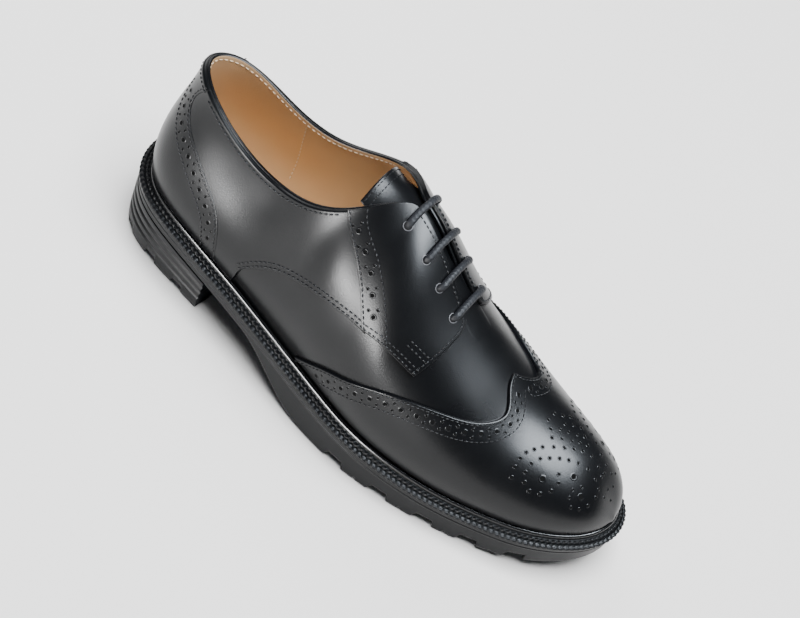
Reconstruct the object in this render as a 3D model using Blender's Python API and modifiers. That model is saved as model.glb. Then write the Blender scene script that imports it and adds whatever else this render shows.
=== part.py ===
"""A right-foot wing-tip derby brogue on a lugged rubber sole.

The toe points to +X, the inner (medial) side to +Y, and the shoe stands on z = 0
with the middle of its box over the origin. Sizes are in millimetres and MM turns
them to metres. Every leather piece is a patch of one surface, the last, lifted by
the leather that lies under it.
"""
import bpy
import bmesh
import numpy as np
from mathutils import Matrix, Vector

MM = 0.001

# Driving sizes
WALL = 1.8             # the upper's leather and lining together
SEAT = 0.75            # gap between one curved piece and the piece that it lies on
OVERLAY = 1.1          # leather of the wing cap and quarters
COUNTER = 1.4          # leather of the heel counter
FACING = 1.4           # leather of the lace facings
TONGUE = 1.8           # leather and padding of the tongue
TONGUE_SEAT = 0.5      # gap between the tongue and the upper over it
SKIRT = 2.6            # how far the upper runs down behind the welt
BEAD_CLEAR = 2.1       # overlays start this far above the feather line
INSOLE_TOP = -0.4      # heights below are measured from the feather line
INSOLE_BASE = -3.3
SOLE_BED = -3.6        # face of the outsole that carries the insole
WELT_BASE = -6.9
SOLE_RIM = -7.2        # face of the outsole that carries the welt
PLATE = 12.2           # welt and outsole together at the waist and the heel seat
TREAD_FROM = 154       # the tread lies on the floor from here
TREAD_TO = 236         # to here, and then springs up to the toe
WAIST_FROM = 100       # the sole starts to come down from the waist here
TOE_END = 306
TOE_SPRING = 14
LUG_DEPTH = 4.2
LUG_GAP = 10.5
HEEL_SEAT = 0.3        # gap between the heel block and the outsole
HEEL_STATION = 2.05    # station of the heel breast
EYELET_RADIUS = 2.3
LACE_RADIUS = 1.4
LACE_CLEAR = 0.35      # gap between a lace bar and the facing

# The last: a row for each station, lateral heel to toe. The feather point is where
# the upper meets the sole, on the lateral side (l) and the medial side (m). The top
# point is on the collar behind the throat, half to each side of the middle line, and
# on the ridge in front of it. Flare and lean are the column's angles at both ends,
# and k0 and k1 the lengths of its handles.
LAST_COLUMNS = "s fxl fyl fxm fym tx ty half tz flare lean k0 k1".split()
LAST_ROWS = [
    (0.0,  10,   0.0,  10,   0.0,   9.0,   0.0,  0.0, 105.0, 22, -2, 0.40, 0.35),
    (0.6,  17, -20.5,  18,  20.5,  19.0,   0.0, 13.0, 103.0, 20,  0, 0.40, 0.35),
    (1.4,  45, -31.5,  45,  30.0,  47.0,   0.0, 20.0,  94.0, 15, 10, 0.40, 0.35),
    (2.3,  82, -36.5,  82,  28.5,  79.0,   0.5, 23.5,  92.5, 12, 14, 0.40, 0.35),
    (3.2, 118, -42.0, 118,  24.0, 108.5,   0.0, 22.5, 108.0, 12, 25, 0.40, 0.40),
    (4.0, 150, -47.0, 148,  26.5, 134.0,  -1.5,  0.0, 121.0, 14, 70, 0.45, 0.50),
    (5.0, 184, -49.5, 180,  36.5, 176.0,  -3.5,  0.0,  93.5, 16, 90, 0.50, 0.55),
    (5.8, 216, -44.5, 208,  40.5, 208.0,  -1.5,  0.0,  75.0, 18, 90, 0.52, 0.58),
    (6.8, 250, -34.0, 244,  38.0, 239.0,   2.0,  0.0,  61.5, 18, 90, 0.55, 0.60),
    (7.7, 275, -23.0, 272,  30.0, 267.0,   5.0,  0.0,  56.0, 18, 90, 0.55, 0.60),
    (8.3, 291,  -9.0, 292,  20.5, 285.0,   6.0,  0.0,  45.0, 18, 90, 0.55, 0.60),
    (8.8, 297,   6.0, 297,   6.0, 297.0,   6.0,  0.0,  32.0,  0, 90, 0.55, 0.60),
]
THROAT = 4.0           # station of the throat's top, where the collar's halves end
# Height of the feather line along the shoe: heel, arch, ball and toe spring
FEATHER_X = [0, 60, 110, 160, 200, 240, 272, 306]
FEATHER_Z = [40, 35.3, 30.2, 24.6, 21.6, 21.2, 25, 32]

# Edges of the overlays as (station, girth), where girth is 0 at the feather line
# and 1 at the top of the column
WING_LATERAL = [(3.52, 0.04), (3.91, 0.13), (4.27, 0.187), (4.93, 0.338), (5.49, 0.468),
                (5.93, 0.568), (6.17, 0.655), (6.3, 0.77)]
WING_MEDIAL = [(3.52, 0.04), (3.91, 0.13), (4.27, 0.21), (4.93, 0.40), (5.45, 0.57),
               (5.85, 0.675), (6.17, 0.73), (6.3, 0.77)]
PEAK_LATERAL = [(6.3, 0.77), (6.24, 0.83), (6.09, 0.92), (6.03, 1.0)]
PEAK_MEDIAL = [(6.3, 0.77), (6.22, 0.85), (6.13, 0.93), (6.03, 1.0)]
COUNTER_EDGE = [(1.98, 0.0), (1.96, 0.1), (1.65, 0.432), (1.37, 0.525), (1.06, 0.604),
                (0.72, 0.676), (0.55, 0.76), (0.66, 1.0)]
VAMP_ARC = [(2.25, 0.0), (2.34, 0.173), (2.55, 0.317), (2.87, 0.432), (3.17, 0.46),
            (3.53, 0.44), (3.88, 0.405), (4.21, 0.405)]
FACING_FOOT = [(4.21, 0.405), (4.6, 0.446), (5.05, 0.489)]
FACING_FRONT = [(5.05, 0.489), (5.14, 0.619), (5.19, 0.748), (5.19, 0.863), (5.15, 0.906)]
FACING_REAR = [(4.21, 0.405), (3.97, 0.54), (3.68, 0.683), (3.23, 1.0)]
FACING_TOP = [(3.23, 1.0), (3.6, 1.0), (3.92, 0.995)]
SLIT = [(4.0, 0.981), (4.1, 0.968), (4.37, 0.955), (4.6, 0.95), (4.81, 0.943),
        (5.02, 0.928), (5.15, 0.906)]
EYELETS = [(4.04, 0.863), (4.42, 0.832), (4.71, 0.832), (5.02, 0.832)]
EDGE_GAP = 0.026       # gap between neighbouring overlays, in stations
EDGE_POINTS = 10       # points along an edge that two overlays share

# The welt's section: width beyond the feather line, height from it. A smooth bead
# lies against the upper, then a low row of dots, then the roped outer lip.
WELT_SECTION = [(2.35, WELT_BASE), (2.35, -0.4), (2.9, 0.2), (4.0, 0.0), (4.8, -2.3),
                (5.4, -1.6), (6.4, -1.9), (7.1, -3.6), (8.3, -3.0), (9.2, -4.2),
                (8.9, WELT_BASE)]
# The heel block's side: share of its height, width beyond the feather line. Three
# ribs are parted by grooves.
HEEL_SIDE = [(0.0, 4.6), (0.12, 5.6), (0.36, 6.4), (0.38, 5.5), (0.43, 5.6), (0.45, 6.7),
             (0.57, 7.1), (0.59, 6.2), (0.64, 6.3), (0.66, 7.4), (0.78, 7.7), (0.80, 6.8),
             (0.85, 6.9), (0.87, 8.0), (1.0, 8.3)]
# Stations of the gaps between the side lugs, and of the notches round the heel
LUG_GAP_STATIONS = [4.78, 5.45, 6.08, 6.77, 7.55]
HEEL_NOTCH_STATIONS = [-1.7, -1.21, -0.72, 0.0, 0.72, 1.21, 1.7]
# The tongue above the throat: place and height of its crest, radius of its arch
TONGUE_HEAD = [(128.5, 119.7, 15.5), (121, 120.3, 14.5), (114, 121.4, 14.5)]
TONGUE_HALF = 14.5


def open_spline(knots, values, at):
    """Natural cubic spline through values, held at its ends."""
    knots = np.asarray(knots, float)
    values = np.asarray(values, float)
    count = len(knots)
    gap = np.diff(knots)
    matrix = np.eye(count)
    right = np.zeros(count)
    for i in range(1, count - 1):
        matrix[i, i - 1:i + 2] = gap[i - 1], 2 * (gap[i - 1] + gap[i]), gap[i]
        right[i] = 6 * ((values[i + 1] - values[i]) / gap[i] - (values[i] - values[i - 1]) / gap[i - 1])
    bend = np.linalg.solve(matrix, right)
    at = np.clip(np.asarray(at, float), knots[0], knots[-1])
    i = np.clip(np.searchsorted(knots, at, side="right") - 1, 0, count - 2)
    b = (at - knots[i]) / gap[i]
    a = 1 - b
    curve = ((a**3 - a) * bend[i] + (b**3 - b) * bend[i + 1]) * gap[i]**2 / 6
    return a * values[i] + b * values[i + 1] + curve


def closed_spline(knots, period, values, at):
    """Cubic spline through values that repeats after each period."""
    count = len(knots)
    gap = np.diff(np.append(knots, knots[0] + period))
    matrix = np.zeros((count, count))
    right = np.zeros(count)
    for i in range(count):
        before = (i - 1) % count
        after = (i + 1) % count
        matrix[i, before] = gap[before]
        matrix[i, i] = 2 * (gap[before] + gap[i])
        matrix[i, after] = gap[i]
        rise = (values[after] - values[i]) / gap[i]
        right[i] = 6 * (rise - (values[i] - values[before]) / gap[before])
    bend = np.linalg.solve(matrix, right)
    at = np.mod(np.asarray(at, float) - knots[0], period) + knots[0]
    i = np.clip(np.searchsorted(knots, at, side="right") - 1, 0, count - 1)
    after = (i + 1) % count
    b = (at - knots[i]) / gap[i]
    a = 1 - b
    curve = ((a**3 - a) * bend[i] + (b**3 - b) * bend[after]) * gap[i]**2 / 6
    return a * values[i] + b * values[after] + curve


# The last as a surface of loop station t and girth g
TOE = LAST_ROWS[-1][0]
LOOP = 2 * TOE
LAST = {}
for index, column_name in enumerate(LAST_COLUMNS):
    LAST[column_name] = np.array([row[index] for row in LAST_ROWS], float)


def around(lateral, medial):
    """One column of the table carried round the whole loop."""
    return np.concatenate([lateral, medial[-2:0:-1]])


LOOP_KNOTS = around(LAST["s"], LOOP - LAST["s"])


def last_value(lateral, medial, t):
    return closed_spline(LOOP_KNOTS, LOOP, around(LAST[lateral], LAST[medial]), t)


def feather_height(x):
    return open_spline(FEATHER_X, FEATHER_Z, x)


def feather(t):
    """Feather point at station t, and the level normal that points out of the shoe."""
    x = last_value("fxl", "fxm", t)
    y = last_value("fyl", "fym", t)
    step = 0.001
    dx = last_value("fxl", "fxm", t + step) - last_value("fxl", "fxm", t - step)
    dy = last_value("fyl", "fym", t + step) - last_value("fyl", "fym", t - step)
    size = np.hypot(dx, dy)
    point = np.stack([x, y, feather_height(x)], -1)
    return point, np.stack([dy / size, -dx / size, 0 * size], -1)


def last(t, g):
    """Point of the last: at each station a Bezier column from feather to top."""
    t, g = np.broadcast_arrays(np.asarray(t, float), np.asarray(g, float))
    foot, out = feather(t)
    turn = np.mod(t, LOOP)
    medial = turn > TOE
    station = np.where(medial, LOOP - turn, turn)
    side = np.where(medial, 1.0, -1.0)
    collar = LAST["s"] <= THROAT
    half = open_spline(LAST["s"][collar], LAST["half"][collar], station)
    top = np.stack([last_value("tx", "tx", t), last_value("ty", "ty", t) + side * half,
                    last_value("tz", "tz", t)], -1)
    blend = np.clip((station - THROAT + 0.8) / 0.8, 0, 1)
    blend = (blend * blend * (3 - 2 * blend))[..., None]
    away = (1 - blend) * out + blend * np.stack([0 * side, side, 0 * side], -1)
    away = away / np.linalg.norm(away, axis=-1, keepdims=True)
    rise = (top - foot)[..., 2]
    across = np.linalg.norm((top - foot)[..., :2], axis=-1)
    flare = np.radians(last_value("flare", "flare", t))
    lean = np.radians(last_value("lean", "lean", t))
    up = np.array([0, 0, 1.0])
    low_reach = last_value("k0", "k0", t) * rise
    low = low_reach[..., None] * (np.sin(flare)[..., None] * out + np.cos(flare)[..., None] * up)
    top_reach = last_value("k1", "k1", t) * (np.cos(lean)**2 * rise + np.sin(lean)**2 * across)
    high = top_reach[..., None] * (np.sin(lean)[..., None] * away - np.cos(lean)[..., None] * up)
    g = g[..., None]
    return ((1 - g)**3 * foot + 3 * (1 - g)**2 * g * (foot + low)
            + 3 * (1 - g) * g**2 * (top + high) + g**3 * top)


def last_normal(t, g):
    """Outward normal. The ridge turns back on itself at the tip of the toe, so there
    the normal is read a little below it."""
    at_tip = np.abs(np.mod(t, LOOP) - TOE) < 0.02
    g = np.where(at_tip, np.minimum(g, 0.9), g)
    step = 0.001
    along = last(t + step, g) - last(t - step, g)
    up = last(t, np.minimum(g + step, 1)) - last(t, np.maximum(g - step, 0))
    normal = np.cross(along, up)
    return normal / np.linalg.norm(normal, axis=-1, keepdims=True)


def lifted(t, g, lift):
    """Point at a height over the last."""
    return last(t, g) + lift * last_normal(t, g)


def skirt(t, drop):
    """Point below the feather line, straight down the foot of the column."""
    foot, out = feather(t)
    flare = np.radians(last_value("flare", "flare", t))[..., None]
    return foot - drop * (np.sin(flare) * out + np.cos(flare) * np.array([0, 0, 1.0]))


def girth_above_feather(t, height):
    """Girth at which a column stands a small height over the feather line."""
    foot, _ = feather(t)
    rise = last_value("tz", "tz", t) - foot[..., 2]
    return height / (3 * last_value("k0", "k0", t) * rise)


# Stations of the columns, closer together round the heel and the toe
SIDE_STATIONS = np.concatenate([
    np.linspace(0, 0.8, 4, endpoint=False),
    np.linspace(0.8, 4.0, 8, endpoint=False),
    np.linspace(4.0, 5.2, 4, endpoint=False),
    np.linspace(5.2, 6.3, 6, endpoint=False),
    np.linspace(6.3, 7.5, 3, endpoint=False),
    np.linspace(7.5, TOE, 7),
])
LOOP_STATIONS = np.concatenate([SIDE_STATIONS, LOOP - SIDE_STATIONS[-2:0:-1]])

# The middle of the shoe's box, which goes over the origin
OUTER_EDGE = feather(np.linspace(0, LOOP, 720))
OUTER_EDGE = OUTER_EDGE[0] + max(width for width, _ in WELT_SECTION) * OUTER_EDGE[1]
MIDDLE = 0.5 * (OUTER_EDGE.min(0) + OUTER_EDGE.max(0)) * np.array([1, 1, 0])


def clear_scene():
    for thing in list(bpy.data.objects):
        bpy.data.objects.remove(thing, do_unlink=True)


def new_collection(name):
    collection = bpy.data.collections.new(name)
    bpy.context.scene.collection.children.link(collection)
    return collection


def leather_or_rubber(name, colour, roughness):
    material = bpy.data.materials.new(name)
    material.use_nodes = True
    shader = material.node_tree.nodes["Principled BSDF"]
    shader.inputs["Base Color"].default_value = (*colour, 1)
    shader.inputs["Roughness"].default_value = roughness
    shader.inputs["Metallic"].default_value = 0
    material.diffuse_color = (*colour, 1)
    return material


def placed(points):
    """Shoe millimetres to metres about the origin."""
    return (np.asarray(points, float).reshape(-1, 3) - MIDDLE) * MM


def add_object(name, mesh, collection, material=None):
    thing = bpy.data.objects.new(name, mesh)
    collection.objects.link(thing)
    if material:
        mesh.materials.append(material)
        mesh.shade_smooth()
        mesh.set_sharp_from_angle(angle=np.radians(40))
    return thing


def grid_faces(rows, columns, closed=False, flip=False):
    """Quads of a grid whose points are listed row by row."""
    faces = []
    for i in range(rows - 1):
        for j in range(columns if closed else columns - 1):
            right = (j + 1) % columns
            face = (i * columns + j, i * columns + right, (i + 1) * columns + right, (i + 1) * columns + j)
            faces.append(face[::-1] if flip else face)
    return faces


def mesh_from(name, points, faces):
    """Mesh with doubled points merged, so that halves join along the ridge."""
    mesh = bpy.data.meshes.new(name)
    mesh.from_pydata(placed(points).tolist(), [], faces)
    work = bmesh.new()
    work.from_mesh(mesh)
    bmesh.ops.remove_doubles(work, verts=work.verts, dist=0.00002)
    work.to_mesh(mesh)
    work.free()
    return mesh


def thicken(thing, thickness):
    """Leather of an even thickness on the outer face of a sheet."""
    solidify = thing.modifiers.new("leather", "SOLIDIFY")
    solidify.thickness = thickness * MM
    solidify.offset = 1
    solidify.use_even_offset = True
    solidify.use_quality_normals = True


def leather_sheet(name, points, thickness, material, collection, closed=False, flip=False):
    """An open sheet given as rows of points, thickened away from the last."""
    rows, columns = points.shape[:2]
    mesh = mesh_from(name, points, grid_faces(rows, columns, closed, flip))
    thing = add_object(name, mesh, collection, material)
    thicken(thing, thickness)
    return thing


def stack(name, rings, material, collection, breast=False):
    """A closed solid of outline rings, bottom to top, with ruled faces across both ends.

    Each ring runs lateral heel, toe, medial heel, or medial breast, back, lateral breast.
    """
    rings = np.asarray(rings)
    layers, columns = rings.shape[:2]
    faces = grid_faces(layers, columns, closed=True)
    half = columns // 2
    for start, flip in ((0, True), ((layers - 1) * columns, False)):
        for j in range(half):
            first = [j, j + 1, columns - 2 - j, columns - 1 - j] if breast else [
                j, j + 1, (columns - j - 1) % columns, (columns - j) % columns]
            face = [start + k for k in dict.fromkeys(first)]
            if len(face) > 2:
                faces.append(face[::-1] if flip else face)
    mesh = mesh_from(name, rings, faces)
    return add_object(name, mesh, collection, material)


def cut_with(thing, cutter):
    boolean = thing.modifiers.new("cut", "BOOLEAN")
    boolean.operation = "DIFFERENCE"
    boolean.solver = "EXACT"
    boolean.object = cutter


def cutter_from(name, work, collection):
    mesh = bpy.data.meshes.new(name)
    work.to_mesh(mesh)
    work.free()
    thing = add_object(name, mesh, collection)
    thing.hide_render = True
    thing.display_type = "WIRE"
    return thing


def box_frame(centre, facing_out, along, inward, tall):
    """Matrix of a box whose second axis points out of the shoe."""
    out = Vector(facing_out).normalized()
    side = out.cross(Vector((0, 0, 1)))
    turn = Matrix((side, out, Vector((0, 0, 1)))).transposed().to_4x4()
    size = Matrix.Diagonal((along * MM, inward * MM, tall * MM, 1))
    return Matrix.Translation(Vector(placed(centre)[0])) @ turn @ size


def edge(points, count):
    """Points evenly spread along a smooth curve through (station, girth) pairs."""
    points = np.array(points, float)
    station_size = 40
    girth_size = 90
    steps = np.diff(points, axis=0) * np.array([station_size, girth_size])
    run = np.append(0, np.cumsum(np.hypot(steps[:, 0], steps[:, 1])))
    at = np.linspace(0, run[-1], count)
    return np.stack([open_spline(run, points[:, 0], at), open_spline(run, points[:, 1], at)], -1)


def patch(bottom, top, rear, front):
    """Grid of (station, girth) that fills four edges, rear to front and bottom to top."""
    u = np.linspace(0, 1, len(bottom))[None, :, None]
    v = np.linspace(0, 1, len(rear))[:, None, None]
    rails = (1 - v) * bottom[None] + v * top[None] + (1 - u) * rear[:, None] + u * front[:, None]
    corners = ((1 - u) * (1 - v) * bottom[0] + u * (1 - v) * bottom[-1]
               + (1 - u) * v * top[0] + u * v * top[-1])
    return rails - corners


def on_side(grid, medial, lift):
    """Points over the last for a (station, girth) grid on one side of the shoe."""
    t = LOOP - grid[..., 0] if medial else grid[..., 0]
    low = girth_above_feather(t, BEAD_CLEAR)
    return lifted(t, np.clip(grid[..., 1], low, 1), lift)


def sole_bottom(x):
    """Height of the outsole's lower face: plate, waist, flat tread, toe spring."""
    down = np.clip((x - WAIST_FROM) / (TREAD_FROM - WAIST_FROM), 0, 1)
    down = down * down * (3 - 2 * down)
    spring = TOE_SPRING * np.clip((x - TREAD_TO) / (TOE_END - TREAD_TO), 0, None)**1.8
    return (1 - down) * (feather_height(x) - PLATE) + down * spring


def ring_at(t, width, height):
    """Outline ring at a width beyond the feather line and a height from it."""
    foot, out = feather(t)
    return foot + width * out + np.array([0, 0, height])


def build_upper(collection, punch):
    """The hollow shell: open underneath, at the collar and along the throat slit."""
    rows = np.linspace(0, 1, 9)
    turn = LOOP_STATIONS
    station = np.where(turn > TOE, LOOP - turn, turn)
    slit_s, slit_g = np.array(SLIT).T
    under_facing = 0.006
    top = np.ones(len(turn))
    slit = (station >= slit_s[0]) & (station <= slit_s[-1])
    top[slit] = np.interp(station[slit], slit_s, slit_g) - under_facing
    points = np.concatenate([skirt(turn, SKIRT)[None], last(turn[None], rows[:, None] * top[None])])
    material = leather_or_rubber("black_upper_leather", (0.012, 0.013, 0.016), 0.32)
    upper = leather_sheet("upper", points, WALL, material, collection, closed=True)
    cut_with(upper, punch)


def wing_cap_half(wing, peak, medial):
    """Four grids of one half: the wing behind the trough, the toe, the peak, the toe's top."""
    trough_s, trough_g = wing[-1]
    wing_s, wing_g = np.array(wing).T
    peak_s, peak_g = np.array(peak).T
    between = SIDE_STATIONS[(SIDE_STATIONS > wing_s[0] + 0.1) & (SIDE_STATIONS < trough_s - 0.1)]
    rear = np.concatenate([wing_s[:1], between, [trough_s]])
    front = np.append(trough_s, SIDE_STATIONS[SIDE_STATIONS > trough_s + 0.05])
    low_rows = np.linspace(0, 1, 8)[:, None]
    high_rows = np.linspace(trough_g, 1, 4)[:, None]
    columns = np.linspace(0, 1, 3)[None]
    edge_s = np.interp(high_rows, peak_g, peak_s)
    grids = []
    for stations, tops in ((rear, open_spline(wing_s, wing_g, rear)), (front, np.full(len(front), trough_g))):
        low = girth_above_feather(stations, BEAD_CLEAR)
        grids.append((0 * low_rows + stations, low + low_rows * np.maximum(tops - low, 0)))
    grids.append((edge_s + columns * (trough_s - edge_s), high_rows + 0 * columns))
    grids.append((0 * high_rows + front, high_rows + 0 * front))
    return [(LOOP - station if medial else station, girth) for station, girth in grids]


def build_wing_cap(collection):
    """The toe cap with its centre peak and two wings that run back along the welt."""
    points = []
    faces = []
    for wing, peak, medial in ((WING_LATERAL, PEAK_LATERAL, False), (WING_MEDIAL, PEAK_MEDIAL, True)):
        for t, girth in wing_cap_half(wing, peak, medial):
            girth = np.maximum(girth, girth_above_feather(t, BEAD_CLEAR))
            first = len(points)
            points.extend(lifted(t, np.minimum(girth, 1), WALL + SEAT).reshape(-1, 3))
            for face in grid_faces(*t.shape, flip=medial):
                faces.append([first + corner for corner in face])
    material = leather_or_rubber("black_wing_cap_leather", (0.012, 0.013, 0.016), 0.30)
    thing = add_object("wing_cap", mesh_from("wing_cap", points, faces), collection, material)
    thicken(thing, OVERLAY)


def build_quarters(collection):
    """The side panels between the heel counter and the facings."""
    gap = np.array([EDGE_GAP, 0])
    material = leather_or_rubber("black_quarter_leather", (0.012, 0.013, 0.016), 0.30)
    for name, medial in (("quarter_lateral", False), ("quarter_medial", True)):
        rear = edge(COUNTER_EDGE, EDGE_POINTS) + gap
        front = edge(FACING_REAR, EDGE_POINTS) - gap
        foot = [tuple(rear[0])] + VAMP_ARC[:-1] + [tuple(front[0])]
        top = np.linspace(rear[-1], front[-1], 16)
        grid = patch(edge(foot, len(top)), top, rear, front)
        points = on_side(grid, medial, WALL + SEAT)
        leather_sheet(name, points, OVERLAY, material, collection, flip=medial)


def build_facings(collection, punch):
    """The two lace facings, each with four punched eyelets."""
    material = leather_or_rubber("black_facing_leather", (0.012, 0.013, 0.016), 0.30)
    for name, medial in (("facing_lateral", False), ("facing_medial", True)):
        top = np.concatenate([edge(FACING_TOP, 5), edge(SLIT, 7)])
        rear = edge(FACING_REAR, EDGE_POINTS)
        front = edge(FACING_FRONT, EDGE_POINTS)
        grid = patch(edge(FACING_FOOT, len(top)), top, rear, front)
        points = on_side(grid, medial, WALL + SEAT)
        facing = leather_sheet(name, points, FACING, material, collection, flip=medial)
        cut_with(facing, punch)


def build_heel_counter(collection):
    """The panel round the back of the heel, with its S-shaped front edges."""
    front = edge(COUNTER_EDGE, EDGE_POINTS)
    share = np.linspace(-1, 1, 17)
    t = front[:, :1] * share[None]
    low = girth_above_feather(t, BEAD_CLEAR)
    girth = np.maximum(front[:, 1:], low)
    points = lifted(t, girth, WALL + SEAT)
    material = leather_or_rubber("black_counter_leather", (0.012, 0.013, 0.016), 0.30)
    leather_sheet("heel_counter", points, COUNTER, material, collection)


def build_tongue(collection):
    """The tongue: under the vamp and facings along the ridge, then out over the throat."""
    across = np.linspace(-1, 1, 9)
    rows = []
    for station in np.linspace(5.55, 4.12, 7):
        girth = 1 - 0.2 * np.abs(across)
        t = np.where(across > 0, LOOP - station, station)
        rows.append(lifted(t, girth, -TONGUE_SEAT - TONGUE))
    crest_y = LAST["ty"][LAST["s"] == THROAT][0]
    for x, crest, radius in TONGUE_HEAD:
        y = TONGUE_HALF * across
        rows.append(np.stack([0 * y + x, crest_y + y, crest - TONGUE - y**2 / (2 * radius)], -1))
    material = leather_or_rubber("black_tongue_leather", (0.014, 0.015, 0.018), 0.36)
    leather_sheet("tongue", np.array(rows), TONGUE, material, collection, flip=True)


def build_insole(collection):
    """The insole board that closes the upper inside."""
    base_inset = -1.8
    top_inset = -0.7
    rings = [ring_at(LOOP_STATIONS, base_inset, INSOLE_BASE), ring_at(LOOP_STATIONS, top_inset, INSOLE_TOP)]
    material = leather_or_rubber("tan_insole_leather", (0.45, 0.21, 0.08), 0.55)
    stack("insole", rings, material, collection)


def build_welt(collection):
    """The rubber welt strip, one section carried all round the feather line."""
    sections = [ring_at(LOOP_STATIONS, width, height) for width, height in WELT_SECTION]
    sections.append(sections[0])
    points = np.array(sections)
    faces = grid_faces(len(sections), len(LOOP_STATIONS), closed=True, flip=True)
    material = leather_or_rubber("black_welt_rubber", (0.016, 0.017, 0.02), 0.42)
    add_object("welt", mesh_from("welt", points, faces), collection, material)


def build_outsole(collection, cutter):
    """The rubber outsole with its stepped side, toe spring and side lugs."""
    floor_width = 7.6
    side_width = 8.3
    step_width = 8.8
    bed_width = 1.6
    chamfer = 1.2
    step_low = SOLE_RIM - 1.6
    step_high = SOLE_RIM - 1.3
    floor_edge = ring_at(LOOP_STATIONS, floor_width, 0)
    floor_edge[:, 2] = sole_bottom(floor_edge[:, 0])
    side = ring_at(LOOP_STATIONS, side_width, 0)
    side[:, 2] = sole_bottom(side[:, 0]) + chamfer
    rings = [floor_edge, side,
             ring_at(LOOP_STATIONS, side_width, step_low), ring_at(LOOP_STATIONS, step_width, step_high),
             ring_at(LOOP_STATIONS, step_width, SOLE_RIM), ring_at(LOOP_STATIONS, bed_width + 0.4, SOLE_RIM),
             ring_at(LOOP_STATIONS, bed_width, SOLE_BED)]
    material = leather_or_rubber("black_outsole_rubber", (0.016, 0.017, 0.02), 0.55)
    outsole = stack("outsole", rings, material, collection)
    cut_with(outsole, cutter)


def build_heel(collection, cutter):
    """The ribbed heel block under the heel seat."""
    behind = SIDE_STATIONS[(SIDE_STATIONS < HEEL_STATION - 0.1)]
    one_side = np.append(behind, HEEL_STATION)
    t = np.concatenate([-one_side[:0:-1], one_side])
    rings = []
    for share, width in HEEL_SIDE:
        ring = ring_at(t, width, 0)
        ring[:, 2] = share * (sole_bottom(ring[:, 0]) - HEEL_SEAT)
        rings.append(ring)
    material = leather_or_rubber("black_heel_rubber", (0.016, 0.017, 0.02), 0.5)
    heel = stack("heel", rings, material, collection, breast=True)
    cut_with(heel, cutter)


def build_laces(collection):
    """Four straight lace bars over the facings, their ends turned down to the eyelets."""
    material = leather_or_rubber("navy_lace_cord", (0.02, 0.022, 0.03), 0.6)
    over_facing = WALL + SEAT + FACING
    bar_lift = over_facing + LACE_CLEAR + LACE_RADIUS
    # Girth past the eyelet towards the ridge, and drop below the bar's own height
    turn_down = [(-0.004, 2.0), (0.002, 1.0), (0.015, 0.3), (0.04, 0.0)]
    for number, (station, eyelet) in enumerate(EYELETS, 1):
        girth = [eyelet + step for step, _ in turn_down] + [eyelet + 0.1, 1]
        lift = [bar_lift - drop for _, drop in turn_down] + [bar_lift] * 2
        lateral = lifted(np.full(len(girth), station), np.array(girth), np.array(lift)[:, None])
        medial = lifted(np.full(len(girth), LOOP - station), np.array(girth), np.array(lift)[:, None])
        crest = 0.5 * (lateral[-1:] + medial[-1:])
        route = placed(np.concatenate([lateral[:-1], crest, medial[-2::-1]]))
        curve = bpy.data.curves.new(f"lace_bar_{number}", "CURVE")
        curve.dimensions = "3D"
        curve.bevel_depth = LACE_RADIUS * MM
        curve.bevel_resolution = 2
        curve.use_fill_caps = True
        spline = curve.splines.new("POLY")
        spline.points.add(len(route) - 1)
        for point, place in zip(spline.points, route):
            point.co = (*place, 1)
        curve.materials.append(material)
        collection.objects.link(bpy.data.objects.new(f"lace_bar_{number}", curve))


def eyelet_punch(collection):
    """Eight short rods that punch the eyelets through facing and upper."""
    rod_length = 9
    middle_lift = 2
    work = bmesh.new()
    for station, girth in EYELETS:
        for t in (station, LOOP - station):
            centre = Vector(placed(lifted(np.array([t]), np.array([girth]), middle_lift))[0])
            axis = Vector(last_normal(np.array([t]), np.array([girth]))[0])
            turn = Vector((0, 0, 1)).rotation_difference(axis).to_matrix().to_4x4()
            bmesh.ops.create_cone(work, cap_ends=True, segments=8, radius1=EYELET_RADIUS * MM,
                                  radius2=EYELET_RADIUS * MM, depth=rod_length * MM,
                                  matrix=Matrix.Translation(centre) @ turn)
    return cutter_from("eyelet_punch", work, collection)


def tread_cutter(collection):
    """Boxes that open the gaps between the side lugs and cross the middle of the tread.

    No two boxes meet, and the toe has no middle box.
    """
    reach_in = 25
    beyond_edge = 10
    box_height = 20
    groove_width = 7
    groove_length = 26
    groove_behind = 13
    box_lift = LUG_DEPTH - 0.5 * box_height
    work = bmesh.new()
    for station in LUG_GAP_STATIONS:
        edges = []
        for t in (station, LOOP - station):
            foot, out = feather(np.array([t]))
            outer = foot[0] + beyond_edge * out[0]
            centre = outer - 0.5 * reach_in * out[0]
            centre[2] = sole_bottom(outer[0]) + box_lift
            bmesh.ops.create_cube(work, matrix=box_frame(centre, out[0], LUG_GAP, reach_in, box_height))
            edges.append(outer)
        if station == LUG_GAP_STATIONS[-1]:
            continue
        middle = 0.5 * (edges[0] + edges[1])
        middle[0] -= groove_behind
        middle[2] = sole_bottom(middle[0]) + box_lift
        groove = box_frame(middle, (0, 1, 0), groove_width, groove_length, box_height)
        bmesh.ops.create_cube(work, matrix=groove)
    return cutter_from("tread_cutter", work, collection)


def heel_cutter(collection):
    """Boxes that notch the lower edge of the heel."""
    notch_width = 7.5
    notch_reach = 14
    box_height = 20
    beyond_feather = 3
    work = bmesh.new()
    for t in HEEL_NOTCH_STATIONS:
        foot, out = feather(np.array([t]))
        centre = foot[0] + beyond_feather * out[0]
        centre[2] = LUG_DEPTH - 0.5 * box_height
        bmesh.ops.create_cube(work, matrix=box_frame(centre, out[0], notch_width, notch_reach, box_height))
    return cutter_from("heel_cutter", work, collection)


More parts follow.
